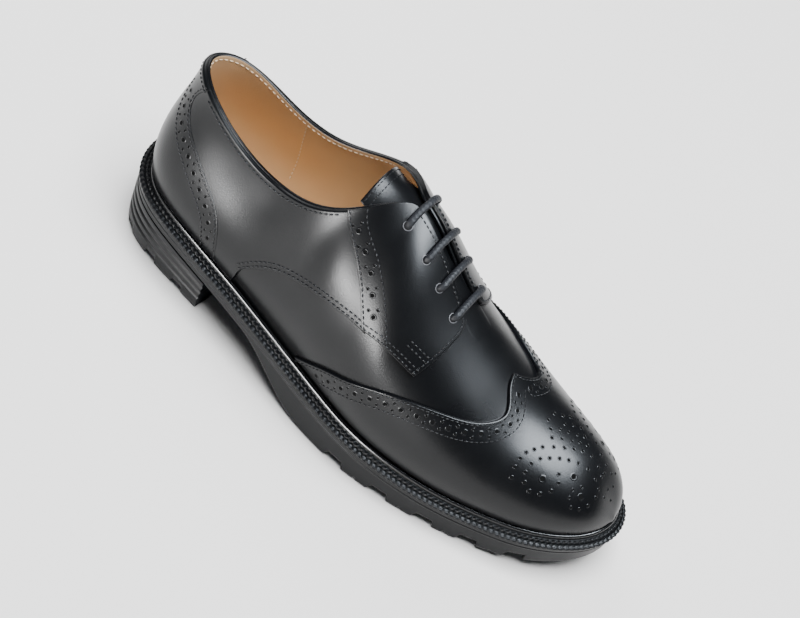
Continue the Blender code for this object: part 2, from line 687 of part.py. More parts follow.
clear_scene()
shoe = new_collection("wing_tip_brogue")
cutters = new_collection("cutters")
punch_rods = eyelet_punch(cutters)
build_outsole(shoe, tread_cutter(cutters))
build_heel(shoe, heel_cutter(cutters))
build_welt(shoe)
build_insole(shoe)
build_upper(shoe, punch_rods)
build_wing_cap(shoe)
build_quarters(shoe)
build_facings(shoe, punch_rods)
build_heel_counter(shoe)
build_tongue(shoe)
build_laces(shoe)
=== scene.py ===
"""Looks of a right-foot wing-tip derby brogue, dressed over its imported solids.

Shapes are worked out in shoe millimetres: x runs from the back of the outsole to the
toe, y to the inner side of the foot and z up from the floor. MIDDLE is the place in the
shoe that lies over the frame's origin.
"""

import bpy
import numpy as np
from mathutils import Matrix


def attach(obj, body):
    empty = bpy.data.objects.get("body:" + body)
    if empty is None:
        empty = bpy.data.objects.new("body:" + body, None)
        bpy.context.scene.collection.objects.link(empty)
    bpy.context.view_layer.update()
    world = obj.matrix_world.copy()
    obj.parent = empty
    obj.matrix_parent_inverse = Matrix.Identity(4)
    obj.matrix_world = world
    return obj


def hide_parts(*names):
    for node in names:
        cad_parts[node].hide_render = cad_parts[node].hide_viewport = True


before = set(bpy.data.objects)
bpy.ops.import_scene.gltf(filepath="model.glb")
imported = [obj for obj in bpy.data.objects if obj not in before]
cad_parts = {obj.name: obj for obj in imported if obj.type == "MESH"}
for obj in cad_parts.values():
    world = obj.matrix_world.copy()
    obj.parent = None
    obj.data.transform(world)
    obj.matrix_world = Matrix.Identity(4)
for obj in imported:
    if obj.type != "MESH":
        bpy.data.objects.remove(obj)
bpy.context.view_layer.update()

# The last
# A shoemaker pulls the leather over a last, so every upper piece lies on one surface: a
# ring of upright columns, outer heel to toe to inner heel. Each is a Bezier curve from
# the feather line, where the sole starts, to the collar or to the ridge of the foot.
MM = 0.001
MIDDLE = np.array([153.516, -4.535, 0])
LAST_COLUMNS = "s fxl fyl fxm fym tx ty half tz flare lean k0 k1".split()
LAST_ROWS = np.array([
    (0.0, 10, 0, 10, 0, 9, 0, 0, 105, 22, -2, 0.40, 0.35),
    (0.6, 17, -20.5, 18, 20.5, 19, 0, 13, 103, 20, 0, 0.40, 0.35),
    (1.4, 45, -31.5, 45, 30, 47, 0, 20, 94, 15, 10, 0.40, 0.35),
    (2.3, 82, -36.5, 82, 28.5, 79, 0.5, 23.5, 92.5, 12, 14, 0.40, 0.35),
    (3.2, 118, -42, 118, 24, 108.5, 0, 22.5, 108, 12, 25, 0.40, 0.40),
    (4.0, 150, -47, 148, 26.5, 134, -1.5, 0, 121, 14, 70, 0.45, 0.50),
    (5.0, 184, -49.5, 180, 36.5, 176, -3.5, 0, 93.5, 16, 90, 0.50, 0.55),
    (5.8, 216, -44.5, 208, 40.5, 208, -1.5, 0, 75, 18, 90, 0.52, 0.58),
    (6.8, 250, -34, 244, 38, 239, 2, 0, 61.5, 18, 90, 0.55, 0.60),
    (7.7, 275, -23, 272, 30, 267, 5, 0, 56, 18, 90, 0.55, 0.60),
    (8.3, 291, -9, 292, 20.5, 285, 6, 0, 45, 18, 90, 0.55, 0.60),
    (8.8, 297, 6, 297, 6, 297, 6, 0, 32, 0, 90, 0.55, 0.60),
])
LAST = dict(zip(LAST_COLUMNS, LAST_ROWS.T))
THROAT = 4.0
TOE = 8.8
LOOP = 2 * TOE
FEATHER_X = [0, 60, 110, 160, 200, 240, 272, 306]
FEATHER_Z = [40, 35.3, 30.2, 24.6, 21.6, 21.2, 25, 32]
# Soft hollows and swells of the leather: side, station, girth, reach along, reach up, height
SOFT_SHAPES = [
    ("lateral", 1.75, 0.62, 0.40, 0.22, -0.7),
    ("lateral", 2.55, 0.66, 0.34, 0.24, 0.4),
    ("lateral", 3.25, 0.58, 0.22, 0.34, -0.45),
    ("lateral", 3.20, 0.26, 0.60, 0.16, 0.5),
    ("lateral", 4.80, 0.62, 0.22, 0.30, -0.35),
    ("medial", 1.90, 0.60, 0.42, 0.24, -0.7),
    ("medial", 3.30, 0.52, 0.22, 0.34, -0.45),
    ("medial", 4.80, 0.62, 0.22, 0.30, -0.35),
]


def eased(value, start, end):
    """Smooth step from 0 at the start to 1 at the end."""
    share = np.clip((value - start) / (end - start), 0, 1)
    return share * share * (3 - 2 * share)


def spline(knots, values, at):
    """Natural cubic spline: second slopes from one linear solve, then a cubic in each span."""
    knots = np.asarray(knots, float)
    values = np.asarray(values, float)
    gap = np.diff(knots)
    rise = np.diff(values) / gap
    matrix = np.diag(np.concatenate([[1], 2 * (gap[:-1] + gap[1:]), [1]]))
    matrix += np.diag(np.append(gap[:-1], 0), -1) + np.diag(np.append(0, gap[1:]), 1)
    bend = np.linalg.solve(matrix, np.concatenate([[0], 6 * np.diff(rise), [0]]))
    at = np.clip(np.asarray(at, float), knots[0], knots[-1])
    i = np.clip(np.searchsorted(knots, at, side="right") - 1, 0, len(gap) - 1)
    b = (at - knots[i]) / gap[i]
    a = 1 - b
    curve = ((a**3 - a) * bend[i] + (b**3 - b) * bend[i + 1]) * gap[i]**2 / 6
    return a * values[i] + b * values[i + 1] + curve


def ring_spline(lateral, medial, t):
    """Cubic spline of one column of the last, closed round the loop of stations."""
    knots = np.concatenate([LAST["s"], LOOP - LAST["s"][-2:0:-1]])
    values = np.concatenate([LAST[lateral], LAST[medial][-2:0:-1]])
    gap = np.diff(np.append(knots, LOOP))
    rise = (np.roll(values, -1) - values) / gap
    before = np.roll(gap, 1)
    matrix = np.diag(2 * (before + gap))
    count = len(knots)
    matrix[np.arange(count), np.arange(count) - 1] = before
    matrix[np.arange(count), (np.arange(count) + 1) % count] = gap
    bend = np.linalg.solve(matrix, 6 * (rise - np.roll(rise, 1)))
    at = np.mod(np.asarray(t, float), LOOP)
    i = np.clip(np.searchsorted(knots, at, side="right") - 1, 0, count - 1)
    after = (i + 1) % count
    b = (at - knots[i]) / gap[i]
    a = 1 - b
    curve = ((a**3 - a) * bend[i] + (b**3 - b) * bend[after]) * gap[i]**2 / 6
    return a * values[i] + b * values[after] + curve


def unit(vectors):
    """Vectors divided by their lengths."""
    return vectors / np.maximum(np.linalg.norm(vectors, axis=-1, keepdims=True), 1e-9)


def feather(t):
    """Point of the feather line at station t, and the level normal out of the shoe."""
    x = ring_spline("fxl", "fxm", t)
    y = ring_spline("fyl", "fym", t)
    step = 0.001
    dx = ring_spline("fxl", "fxm", t + step) - ring_spline("fxl", "fxm", t - step)
    dy = ring_spline("fyl", "fym", t + step) - ring_spline("fyl", "fym", t - step)
    point = np.stack([x, y, spline(FEATHER_X, FEATHER_Z, x)], -1)
    return point, unit(np.stack([dy, -dx, 0 * dx], -1))


def collar_half(station):
    """Half width of the collar opening, closing on the ridge at the throat in a soft curve."""
    collar = LAST["s"] <= THROAT
    knots = LAST["s"][collar]
    width = spline(knots, LAST["half"][collar], station)
    closing = -spline(knots, LAST["half"][collar], THROAT - 0.01) / 0.01
    run_on = np.where(station > THROAT, closing * (station - THROAT), width)
    throat_round = 4.0
    soft = 0.5 * (run_on + np.sqrt(run_on**2 + throat_round**2))
    near_throat = eased(station, 2.6, 3.4) * (1 - eased(station, 4.6, 5.1))
    return width + near_throat * (soft - width)


def last(t, g):
    """Bezier column at station t: foot, handle by the flare, handle by the lean, top."""
    t, g = np.broadcast_arrays(np.asarray(t, float), np.asarray(g, float))
    foot, out = feather(t)
    turn = np.mod(t, LOOP)
    medial = turn > TOE
    station = np.where(medial, LOOP - turn, turn)
    side = np.where(medial, 1.0, -1.0)
    top = np.stack([ring_spline("tx", "tx", t), ring_spline("ty", "ty", t) + side * collar_half(station),
                    ring_spline("tz", "tz", t)], -1)
    blend = eased(station, THROAT - 0.8, THROAT)[..., None]
    away = unit((1 - blend) * out + blend * np.stack([0 * side, side, 0 * side], -1))
    rise = (top - foot)[..., 2]
    across = np.linalg.norm((top - foot)[..., :2], axis=-1)
    flare = np.radians(ring_spline("flare", "flare", t))[..., None]
    lean = np.radians(ring_spline("lean", "lean", t))[..., None]
    up = np.array([0, 0, 1.0])
    low = (ring_spline("k0", "k0", t) * rise)[..., None] * (np.sin(flare) * out + np.cos(flare) * up)
    reach = np.cos(lean)**2 * rise[..., None] + np.sin(lean)**2 * across[..., None]
    high = ring_spline("k1", "k1", t)[..., None] * reach * (np.sin(lean) * away - np.cos(lean) * up)
    g = g[..., None]
    return ((1 - g)**3 * foot + 3 * (1 - g)**2 * g * (foot + low)
            + 3 * (1 - g) * g**2 * (top + high) + g**3 * top)


def slopes(t, g):
    """Change of the last's point for one station and for one girth, by small differences."""
    step = 0.001
    high = np.minimum(g + step, 1)
    low = np.maximum(g - step, 0)
    along = (last(t + step, g) - last(t - step, g)) / (2 * step)
    return along, (last(t, high) - last(t, low)) / (high - low)[..., None]


def normal(t, g):
    """Outward normal, read a little below the ridge at the very tip of the toe."""
    t, g = np.broadcast_arrays(np.asarray(t, float), np.asarray(g, float))
    tip = np.abs(np.mod(t, LOOP) - TOE) < 0.02
    along, up = slopes(t, np.where(tip, np.minimum(g, 0.9), g))
    return unit(np.cross(along, up))


def soft_shape(t, g):
    """Height of the listed hollows and swells: a bell curve for each."""
    turn = np.mod(t, LOOP)
    height = 0 * turn
    for side, station, girth, along, up, depth in SOFT_SHAPES:
        centre = LOOP - station if side == "medial" else station
        height = height + depth * np.exp(-((turn - centre) / along)**2 - ((g - girth) / up)**2)
    return height


def over_last(t, g, lift):
    """Point at a height over the last, with the leather's soft shape added."""
    t, g, lift = np.broadcast_arrays(np.asarray(t, float), np.asarray(g, float), np.asarray(lift, float))
    return last(t, g) + (lift + soft_shape(t, g))[..., None] * normal(t, g)


def walk(t, g, toward, distance):
    """Goes over the last by a distance in six steps.

    Each step's way in space is turned into station and girth with the two slopes.
    """
    steps = 6
    for _ in range(steps):
        along, up = slopes(t, g)
        aa = (along * along).sum(-1)
        au = (along * up).sum(-1)
        uu = (up * up).sum(-1)
        at = (along * toward).sum(-1)
        ut = (up * toward).sum(-1)
        part = np.maximum(aa * uu - au * au, 1e-6)
        dt = (uu * at - au * ut) / part
        dg = (aa * ut - au * at) / part
        size = np.linalg.norm(dt[..., None] * along + dg[..., None] * up, axis=-1)
        t = t + dt / size * distance / steps
        g = np.clip(g + dg / size * distance / steps, 0, 1)
    return t, g


def grid_faces(rows, columns, closed=False):
    """Quads of a grid of points listed row by row; closed joins the last column to the first."""
    i = np.arange(rows - 1)[:, None]
    j = np.arange(columns if closed else columns - 1)[None]
    right = (j + 1) % columns
    corners = [i * columns + j, i * columns + right, (i + 1) * columns + right, (i + 1) * columns + j]
    return np.stack(np.broadcast_arrays(*corners), -1).reshape(-1, 4)


def add_piece(name, points, faces, materials, slot, marks=None, seams=False):
    """A smooth mesh from shoe millimetres. Marks give each face's material number; seams
    joins points that lie on one another.
    """
    mesh = bpy.data.meshes.new(name)
    mesh.from_pydata(((points.reshape(-1, 3) - MIDDLE) * MM).tolist(), [], faces.tolist())
    for material in materials:
        mesh.materials.append(material)
    mesh.polygons.foreach_set("use_smooth", np.ones(len(mesh.polygons), bool))
    if marks is not None:
        mesh.polygons.foreach_set("material_index", np.asarray(marks, np.int32))
    piece = bpy.data.objects.new(name, mesh)
    bpy.context.scene.collection.objects.link(piece)
    if seams:
        weld = piece.modifiers.new("close_seams", "WELD")
        weld.merge_threshold = 0.02 * MM
    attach(piece, "root")
    return piece


# Leather
# The upper is smooth black calf with a soft wax shine, and the lining is tan leather left
# matt. Both show a fine grain, cloudy wear in the shine and tiny pores.
def feed(tree, node, inputs):
    """Give each input of a node its value, or link it to the output that feeds it."""
    for key, value in inputs.items():
        if isinstance(value, bpy.types.NodeSocket):
            tree.links.new(value, node.inputs[key])
        else:
            node.inputs[key].default_value = value


def wired(tree, kind, inputs, **settings):
    """New node of a kind, with its settings made and its inputs fed."""
    node = tree.nodes.new(kind)
    for key, value in settings.items():
        setattr(node, key, value)
    feed(tree, node, inputs)
    return node


def grain_group():
    """Node group: fine cells for grain, broad noise for cloudy shine, as height and mask."""
    group = bpy.data.node_groups.new("leather_grain", "ShaderNodeTree")
    for name, way in (("Cells", "INPUT"), ("Clouds", "INPUT"), ("Height", "OUTPUT"), ("Cloud", "OUTPUT")):
        group.interface.new_socket(name, in_out=way, socket_type="NodeSocketFloat")
    entry = group.nodes.new("NodeGroupInput").outputs
    place = group.nodes.new("ShaderNodeTexCoord").outputs["Object"]
    cells = wired(group, "ShaderNodeTexVoronoi", {"Vector": place, "Scale": entry["Cells"]},
                  feature="SMOOTH_F1")
    pores = wired(group, "ShaderNodeTexNoise", {"Vector": place, "Scale": entry["Cells"], "Detail": 3})
    clouds = wired(group, "ShaderNodeTexNoise", {"Vector": place, "Scale": entry["Clouds"], "Detail": 2})
    mix = wired(group, "ShaderNodeMath", {0: cells.outputs["Distance"], 1: 0.6, 2: pores.outputs["Fac"]},
                operation="MULTIPLY_ADD")
    wired(group, "NodeGroupOutput", {"Height": mix.outputs["Value"], "Cloud": clouds.outputs["Fac"]})
    return group


GRAIN = grain_group()


def grained(name, dark, light, shine, cells, bump, gloss=0.4, clouds=38.0):
    """Material with grain: colour and roughness follow the clouds, bump follows the cells."""
    material = bpy.data.materials.new(name)
    material.use_nodes = True
    tree = material.node_tree
    grain = wired(tree, "ShaderNodeGroup", {"Cells": cells, "Clouds": clouds}, node_tree=GRAIN).outputs
    colour = wired(tree, "ShaderNodeMix", {"Factor": grain["Cloud"], "A": (*dark, 1), "B": (*light, 1)},
                   data_type="RGBA")
    rough = wired(tree, "ShaderNodeMapRange", {"Value": grain["Cloud"], "From Min": 0.3, "From Max": 0.7,
                                               "To Min": shine[0], "To Max": shine[1]})
    relief = wired(tree, "ShaderNodeBump", {"Strength": bump, "Distance": 0.0003, "Height": grain["Height"]})
    feed(tree, tree.nodes["Principled BSDF"], {
        "Specular IOR Level": gloss, "Base Color": colour.outputs["Result"],
        "Roughness": rough.outputs["Result"], "Normal": relief.outputs["Normal"]})
    return material


CALF = grained("black_calf", (0.0020, 0.0023, 0.0030), (0.0034, 0.0038, 0.0048), shine=(0.27, 0.32),
               cells=1500, bump=0.1, gloss=0.25)
LINING = grained("tan_lining", (0.55, 0.365, 0.195), (0.67, 0.465, 0.27), shine=(0.5, 0.6),
                 cells=1900, bump=0.25, clouds=26)

# The shell of the upper
# Vamp and lining are one wall 1.8 mm thick, open underneath, at the collar and along the
# throat slit. The outside is black calf that rolls over the collar's edge; the inside is
# tan lining, and the lace holes go through both.
WALL = 1.8
SKIRT = 2.6
FACING_TOP = [(3.23, 1.0), (3.6, 1.0), (3.92, 0.995)]
SLIT = [(4.0, 0.981), (4.1, 0.968), (4.37, 0.955), (4.6, 0.95), (4.81, 0.943), (5.02, 0.928),
        (5.15, 0.906)]
SLIT_FOOT = 5.149
SLIT_END = 5.17
EYELETS = [(4.04, 0.863), (4.42, 0.832), (4.71, 0.832), (5.02, 0.832)]
EYELET_RADIUS = 2.3
HOLE_REACH = 5


def punched(points, faces, marks=None):
    """Lace holes: points inside a hole move out to its rim, and faces wholly inside go."""
    flat = points.reshape(-1, 3).copy()
    inside = np.zeros(len(flat), bool)
    for station, girth in EYELETS:
        for t in (station, LOOP - station):
            centre = over_last(t, girth, WALL)
            axis = normal(t, girth)
            away = flat - centre
            level = away - (away @ axis)[:, None] * axis
            size = np.linalg.norm(level, axis=1)
            hole = (size < EYELET_RADIUS) & (np.abs(away @ axis) < HOLE_REACH)
            flat[hole] += level[hole] * (EYELET_RADIUS / np.maximum(size[hole], 0.01) - 1)[:, None]
            inside |= hole
    keep = ~inside[faces].all(1)
    return flat, faces[keep], None if marks is None else marks[keep]


def skirt_drop(t):
    """Way from the feather line up the wall, for the hem that goes down behind the welt."""
    _, out = feather(t)
    flare = np.radians(ring_spline("flare", "flare", t))[:, None]
    return SKIRT * (np.sin(flare) * out + np.cos(flare) * np.array([0, 0, 1]))


def shell_round_heel(share):
    """Rows up the outside, over the rounded top edge and down the lining, round the heel."""
    t = np.unique(np.concatenate([np.linspace(-SLIT_END, SLIT_END, 340), [-SLIT_FOOT, SLIT_FOOT]]))
    edge = np.array([(0, 1.0)] + FACING_TOP + SLIT + [(SLIT_END, 1.0)])
    top = np.interp(np.abs(t), edge[:, 0], edge[:, 1])
    outer = over_last(t[None], share * top, WALL)
    inner = over_last(t[None], share[::-1] * top, 0)
    turn = np.linspace(0, np.pi, 7)[1:-1, None]
    rim = unit(slopes(t, top)[1])
    height = 0.5 * WALL * (1 + np.cos(turn)) + soft_shape(t, top)
    rolled = (last(t, top)[None] + height[..., None] * normal(t, top)[None]
              + 0.5 * WALL * np.sin(turn)[..., None] * rim[None])
    drop = skirt_drop(t)
    points = np.concatenate([outer[:1] - drop, outer, rolled, inner, inner[-1:] - drop])
    faces = grid_faces(len(points), len(t))
    row = np.arange(len(faces)) // (len(t) - 1)
    return points.reshape(-1, 3), faces, (row >= len(outer) + len(rolled)).astype(int)


def shell_over_toe(share, lift):
    """Rows up the outer side, over the ridge and down the inner side, slit to toe."""
    s = np.linspace(SLIT_END, TOE, 190)
    lateral = over_last(s[None], share, lift)
    medial = over_last(LOOP - s[None], share[::-1], lift)[1:]
    points = np.concatenate([lateral[:1] - skirt_drop(s), lateral,
                             medial, medial[-1:] - skirt_drop(LOOP - s)])
    faces = grid_faces(len(points), len(s))
    inside = lift < WALL
    return points.reshape(-1, 3), faces[:, ::-1] if inside else faces, np.full(len(faces), int(inside))


def joined(parts):
    """Several lists of points, faces and marks as one."""
    points = []
    faces = []
    marks = []
    first = 0
    for part_points, part_faces, part_marks in parts:
        points.append(part_points)
        faces.append(part_faces + first)
        marks.append(np.zeros(len(part_faces), int) if part_marks is None else part_marks)
        first += len(part_points)
    return np.concatenate(points), np.concatenate(faces), np.concatenate(marks)


wall_rows = np.linspace(0, 1, 46)[:, None]
shell_points, shell_faces, shell_marks = punched(*joined([
    shell_round_heel(wall_rows), shell_over_toe(wall_rows, WALL), shell_over_toe(wall_rows, 0.0)]))
shell = add_piece("upper_shell", shell_points, shell_faces, [CALF, LINING], "upper_leather", shell_marks,
                  seams=True)
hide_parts("upper")

# The insole
# A tan sock of lining leather glued on the insole board, let in just under the feather
# line. The heel seat is pressed into a shallow cup.
INSOLE_TOP = -0.4
INSOLE_BASE = -3.3
SOCK_INSET = -0.7
BOARD_INSET = -1.8
CUP_MIDDLE = 38
CUP_REACH = 26
CUP_DEPTH = 1.6
SOCK_GRID = (25, 160)


def across_sole(inset, height, rows, columns):
    """Ruled sheet from the outer to the inner feather line, station by station."""
    s = np.linspace(0, TOE, columns)
    lateral, out_l = feather(s)
    medial, out_m = feather(LOOP - s)
    lateral = lateral + inset * out_l
    medial = medial + inset * out_m
    v = np.linspace(0, 1, rows)[:, None, None]
    return (1 - v) * lateral + v * medial + np.array([0, 0, height])


def insole_sheet():
    """Top of the sock with a shallow cup under the heel, over a flat underside."""
    top = across_sole(SOCK_INSET, INSOLE_TOP, *SOCK_GRID)
    middle = np.sin(np.linspace(0, np.pi, SOCK_GRID[0]))[:, None]
    heel = np.exp(-((top[..., 0] - CUP_MIDDLE) / CUP_REACH)**2)
    top[..., 2] -= CUP_DEPTH * heel * middle**1.5
    under = across_sole(BOARD_INSET, INSOLE_BASE, *SOCK_GRID)
    top_faces = grid_faces(*SOCK_GRID)
    under_faces = top_faces[:, ::-1] + top[..., 0].size
    return np.concatenate([top, under]), np.concatenate([top_faces, under_faces])


insole = add_piece("insole_sock", *insole_sheet(), [LINING], "lining_leather")
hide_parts("insole")

# Thread and punched holes
# Panels are sewn with waxed black thread and the lining with cream thread. The brogue
# holes are punched, so each leaves a low lip of leather round a pit. The pit is a near-black
# disc laid on the leather: painted shade in place of the hole's depth.
THREAD = grained("waxed_thread", (0.003, 0.0033, 0.0042), (0.007, 0.0076, 0.0095), shine=(0.34, 0.46),
                 cells=4000, bump=0.3, gloss=0.3)
CREAM_THREAD = grained("cream_thread", (0.62, 0.5, 0.34), (0.74, 0.62, 0.45), shine=(0.55, 0.7),
                       cells=4000, bump=0.3)
# Near-black painted shade for the inside of each punched hole, laid on the leather as a disc.
PAINTED_HOLE_SHADE = grained("painted_hole_shade", (0.001, 0.001, 0.001), (0.002, 0.002, 0.002), shine=(0.9, 1.0),
              cells=2600, bump=0.2, gloss=0.1)


def stitch_shape(length, thick):
    """One stitch: six-sided sections that swell, rise in the middle and dip at both ends."""
    u = np.linspace(-1, 1, 5)[:, None]
    turn = np.linspace(0, 2 * np.pi, 6, endpoint=False)[None]
    size = 0.5 * thick * np.sqrt(np.maximum(1 - 0.75 * u**4, 0))
    x = 0.5 * length * u + 0 * turn
    rise = 0.25 * thick * (1 - 2.4 * u**4)
    points = np.stack([x, size * np.cos(turn), rise + size * np.sin(turn)], -1)
    return points.reshape(-1, 3), grid_faces(5, 6, closed=True), None


def hole_shape(radius):
    """One punched hole: a near-black disc of painted shade for the hole's depth, then a lip that rises and
    falls back to the leather.
    """
    rings = radius * np.array([0.02, 0.5, 0.86, 1.02, 1.22, 1.45])[:, None]
    height = np.array([0.03, 0.035, 0.05, 0.12, 0.09, -0.03])[:, None]
    turn = np.linspace(0, 2 * np.pi, 12, endpoint=False)[None]
    points = np.stack([rings * np.cos(turn), rings * np.sin(turn), height + 0 * turn], -1)
    faces = grid_faces(6, 12, closed=True)[:, ::-1]
    # The two inner bands of faces take the second material, the hole's painted shade.
    return points.reshape(-1, 3), faces, (np.arange(len(faces)) < 24).astype(int)


def repeated(shape, places, along, upward):
    """The shape at every place: its x along the row, its z up from the leather."""
    points, faces, marks = shape
    side = np.cross(upward, along)
    turned = (points[None, :, :1] * along[:, None] + points[None, :, 1:2] * side[:, None]
              + points[None, :, 2:] * upward[:, None])
    count = len(places)
    shifted = faces[None] + (np.arange(count) * len(points))[:, None, None]
    return ((places[:, None] + turned).reshape(-1, 3), shifted.reshape(-1, 4),
            None if marks is None else np.tile(marks, count))


def run_along(points):
    """Length along a line of points, from its start to each of them."""
    return np.append(0, np.cumsum(np.linalg.norm(np.diff(points, axis=0), axis=1)))


def at_length(points, run, at):
    """Points of a line at given lengths along it."""
    return np.stack([np.interp(at, run, points[:, k]) for k in range(3)], -1)


def evenly(t, g, lift, pitch, start=0.5):
    """Stations and girths at an even pitch along a line on the leather, and the line's run."""
    points = over_last(t, g, lift)
    run = run_along(points)
    count = max(int(run[-1] / pitch), 1)
    at = (np.arange(count) + start) * run[-1] / count
    step = at_length(points, run, at + 0.3) - at_length(points, run, at - 0.3)
    return np.interp(at, run, t), np.interp(at, run, g), unit(step)


def laid(shape, t, g, lift, run):
    """The shape at each place on the leather, square to the leather and along the run."""
    upward = normal(t, g)
    along = unit(run - (run * upward).sum(-1, keepdims=True) * upward)
    return repeated(shape, over_last(t, g, lift), along, upward)


def add_stitches(name, lines, lift, pitch=2.5, thick=0.62, thread=THREAD, slot="upper_leather"):
    """Stitches along each line of (t, g), as one piece. A negative thickness turns them over,
    so that they rise on the inside of the upper.
    """
    parts = []
    for t, g in lines:
        places_t, places_g, run = evenly(t, g, lift, pitch)
        parts.append(laid(stitch_shape(0.8 * pitch, thick), places_t, places_g, lift, run))
    points, faces, _ = joined(parts)
    add_piece(name, points, faces, [thread], slot)


def add_holes(name, parts):
    """Punched holes with leather lips and near-black discs of painted shade for their pits, as one piece."""
    points, faces, marks = joined(parts)
    add_piece(name, points, faces, [CALF, PAINTED_HOLE_SHADE], "upper_leather", marks)


STATION_LENGTH = 40
GIRTH_LENGTH = 90


def smooth_line(points, count):
    """Evenly spread points on a smooth curve through (station, girth) pairs."""
    points = np.array(points, float)
    run = run_along(points * np.array([STATION_LENGTH, GIRTH_LENGTH]))
    at = np.linspace(0, run[-1], count)
    return spline(run, points[:, 0], at), spline(run, points[:, 1], at)


def inset_line(t, g, distance, turned):
    """The line moved over the leather to its right hand, or to its left where turned is -1."""
    points = last(t, g)
    along = unit(np.gradient(points, axis=0))
    return walk(t, g, turned * np.cross(along, normal(t, g)), distance)


def on_side(s, medial):
    """Loop station for a station on the outer or the inner side."""
    return LOOP - s if medial else s


# Stitching of the collar
# One row of black stitches holds the rolled top edge outside, and one of cream shows
# along the top of the lining. The lining's own side seams run down to the insole.
COLLAR_END = 3.2
COLLAR_ROW = 3.2
LINING_ROW = 2.0
SEAM_STATION = 1.74
collar_t = np.linspace(-COLLAR_END, COLLAR_END, 400)
collar_down = -unit(slopes(collar_t, np.ones(400))[1])
collar_low = walk(collar_t, np.ones(400), collar_down, COLLAR_ROW)
lining_rows = [walk(collar_t, np.ones(400), collar_down, LINING_ROW)]
seam_g = np.linspace(0.93, 0.1, 60)
for seam_t in (SEAM_STATION, -SEAM_STATION):
    lining_rows.append((seam_t - 0.1 * (1 - seam_g), seam_g))
add_stitches("collar_lining_stitches", lining_rows, 0.0, 3.0, -0.7, CREAM_THREAD, "lining_leather")

# The wing cap
# Toe cap of calf with a centre peak and two wings. Its edge carries two rows of stitches
# with a band of brogue holes between them, and the toe has a punched medallion.
SEAT = 0.75
OVERLAY = 1.1
BEAD_CLEAR = 2.1
WING_EDGE = {
    "lateral": [(3.52, 0.04), (3.91, 0.13), (4.27, 0.187), (4.93, 0.338), (5.49, 0.468), (5.93, 0.568),
                (6.17, 0.655), (6.3, 0.77), (6.24, 0.83), (6.09, 0.92), (6.03, 1.0)],
    "medial": [(3.52, 0.04), (3.91, 0.13), (4.27, 0.21), (4.93, 0.40), (5.45, 0.57), (5.85, 0.675),
               (6.17, 0.725), (6.31, 0.775), (6.32, 0.84), (6.25, 0.91), (6.15, 0.96), (6.03, 1.0)],
}
EDGE_STEPS = np.array([0, 0, 0.12, 0.3, 0.6, 1.0])
EDGE_LIFTS = np.array([0, 0.55, 0.8, 0.94, 1.0, 1.0])


def girth_above_feather(t, height):
    """Girth at which a column stands a small height over the feather line."""
    foot, _ = feather(t)
    rise = ring_spline("tz", "tz", t) - foot[..., 2]
    return height / (3 * ring_spline("k0", "k0", t) * rise)


def wing_half(medial):
    """Rows of even girth from the edge to the tip of the toe; the edge is rounded over."""
    edge_s, edge_g = smooth_line(WING_EDGE["medial" if medial else "lateral"], 400)
    g = np.concatenate([np.linspace(0.04, 0.77, 100), np.linspace(0.77, 1, 51)[1:]])
    s = np.interp(g, np.maximum.accumulate(edge_g), edge_s)
    edge = on_side(s, medial)
    run = unit(np.gradient(last(edge, g), axis=0))
    row_way = slopes(edge, g)[0]
    slant = np.linalg.norm(np.cross(run, unit(row_way)), axis=-1)
    slant[-1] = 1
    per_mm = 1 / (np.maximum(slant, 0.3) * np.linalg.norm(row_way, axis=-1))
    rounded = s[:, None] + EDGE_STEPS * per_mm[:, None]
    share = np.linspace(0, 1, 110)[1:]
    stations = np.concatenate([rounded, rounded[:, -1:] + share * (TOE - rounded[:, -1:])], axis=1)
    t = on_side(stations, medial)
    girth = np.maximum(g[:, None], girth_above_feather(t, BEAD_CLEAR)) + 0 * t
    rise = np.concatenate([EDGE_LIFTS, np.ones(len(share))])
    grid = over_last(t, np.minimum(girth, 1), WALL + (SEAT + OVERLAY) * rise)
    faces = grid_faces(*t.shape)
    return grid.reshape(-1, 3), faces[:, ::-1] if medial else faces, None


wing_points, wing_faces, _ = joined([wing_half(False), wing_half(True)])
wing = add_piece("wing_cap_leather", wing_points, wing_faces, [CALF], "upper_leather", seams=True)
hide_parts("wing_cap")

CAP_LIFT = WALL + SEAT + OVERLAY
SMALL_HOLE = 0.7
LARGE_HOLE = 1.2
BAND_PITCH = 8.0
PAIR_SPREAD = 1.9


def brogue_band(t, g, lift):
    """A large hole at each pitch along the line, and a pair of small ones between."""
    large_t, large_g, large_run = evenly(t, g, lift, BAND_PITCH)
    parts = [laid(hole_shape(LARGE_HOLE), large_t, large_g, lift, large_run)]
    between_t, between_g, run = evenly(t, g, lift, BAND_PITCH, 0.0)
    across = np.cross(normal(between_t, between_g), run)
    for hand in (-1, 1):
        small_t, small_g = walk(between_t[1:], between_g[1:], hand * across[1:], PAIR_SPREAD)
        parts.append(laid(hole_shape(SMALL_HOLE), small_t, small_g, lift, run[1:]))
    return joined(parts)


WING_ROW = 1.5
WING_BAND = 5.4
WING_INNER_ROW = 9.4
wing_rows = []
wing_bands = []
for medial in (False, True):
    edge_s, edge_g = smooth_line(WING_EDGE["medial" if medial else "lateral"], 300)
    edge_t = on_side(edge_s, medial)
    hand = -1 if medial else 1
    wing_rows.append(inset_line(edge_t, edge_g, WING_ROW, hand))
    wing_rows.append(inset_line(edge_t[30:-12], edge_g[30:-12], WING_INNER_ROW, hand))
    band_t, band_g = inset_line(edge_t[20:-14], edge_g[20:-14], WING_BAND, hand)
    wing_bands.append(brogue_band(band_t, band_g, CAP_LIFT))
add_stitches("wing_cap_stitches", wing_rows, CAP_LIFT)
add_holes("wing_cap_brogueing", wing_bands)

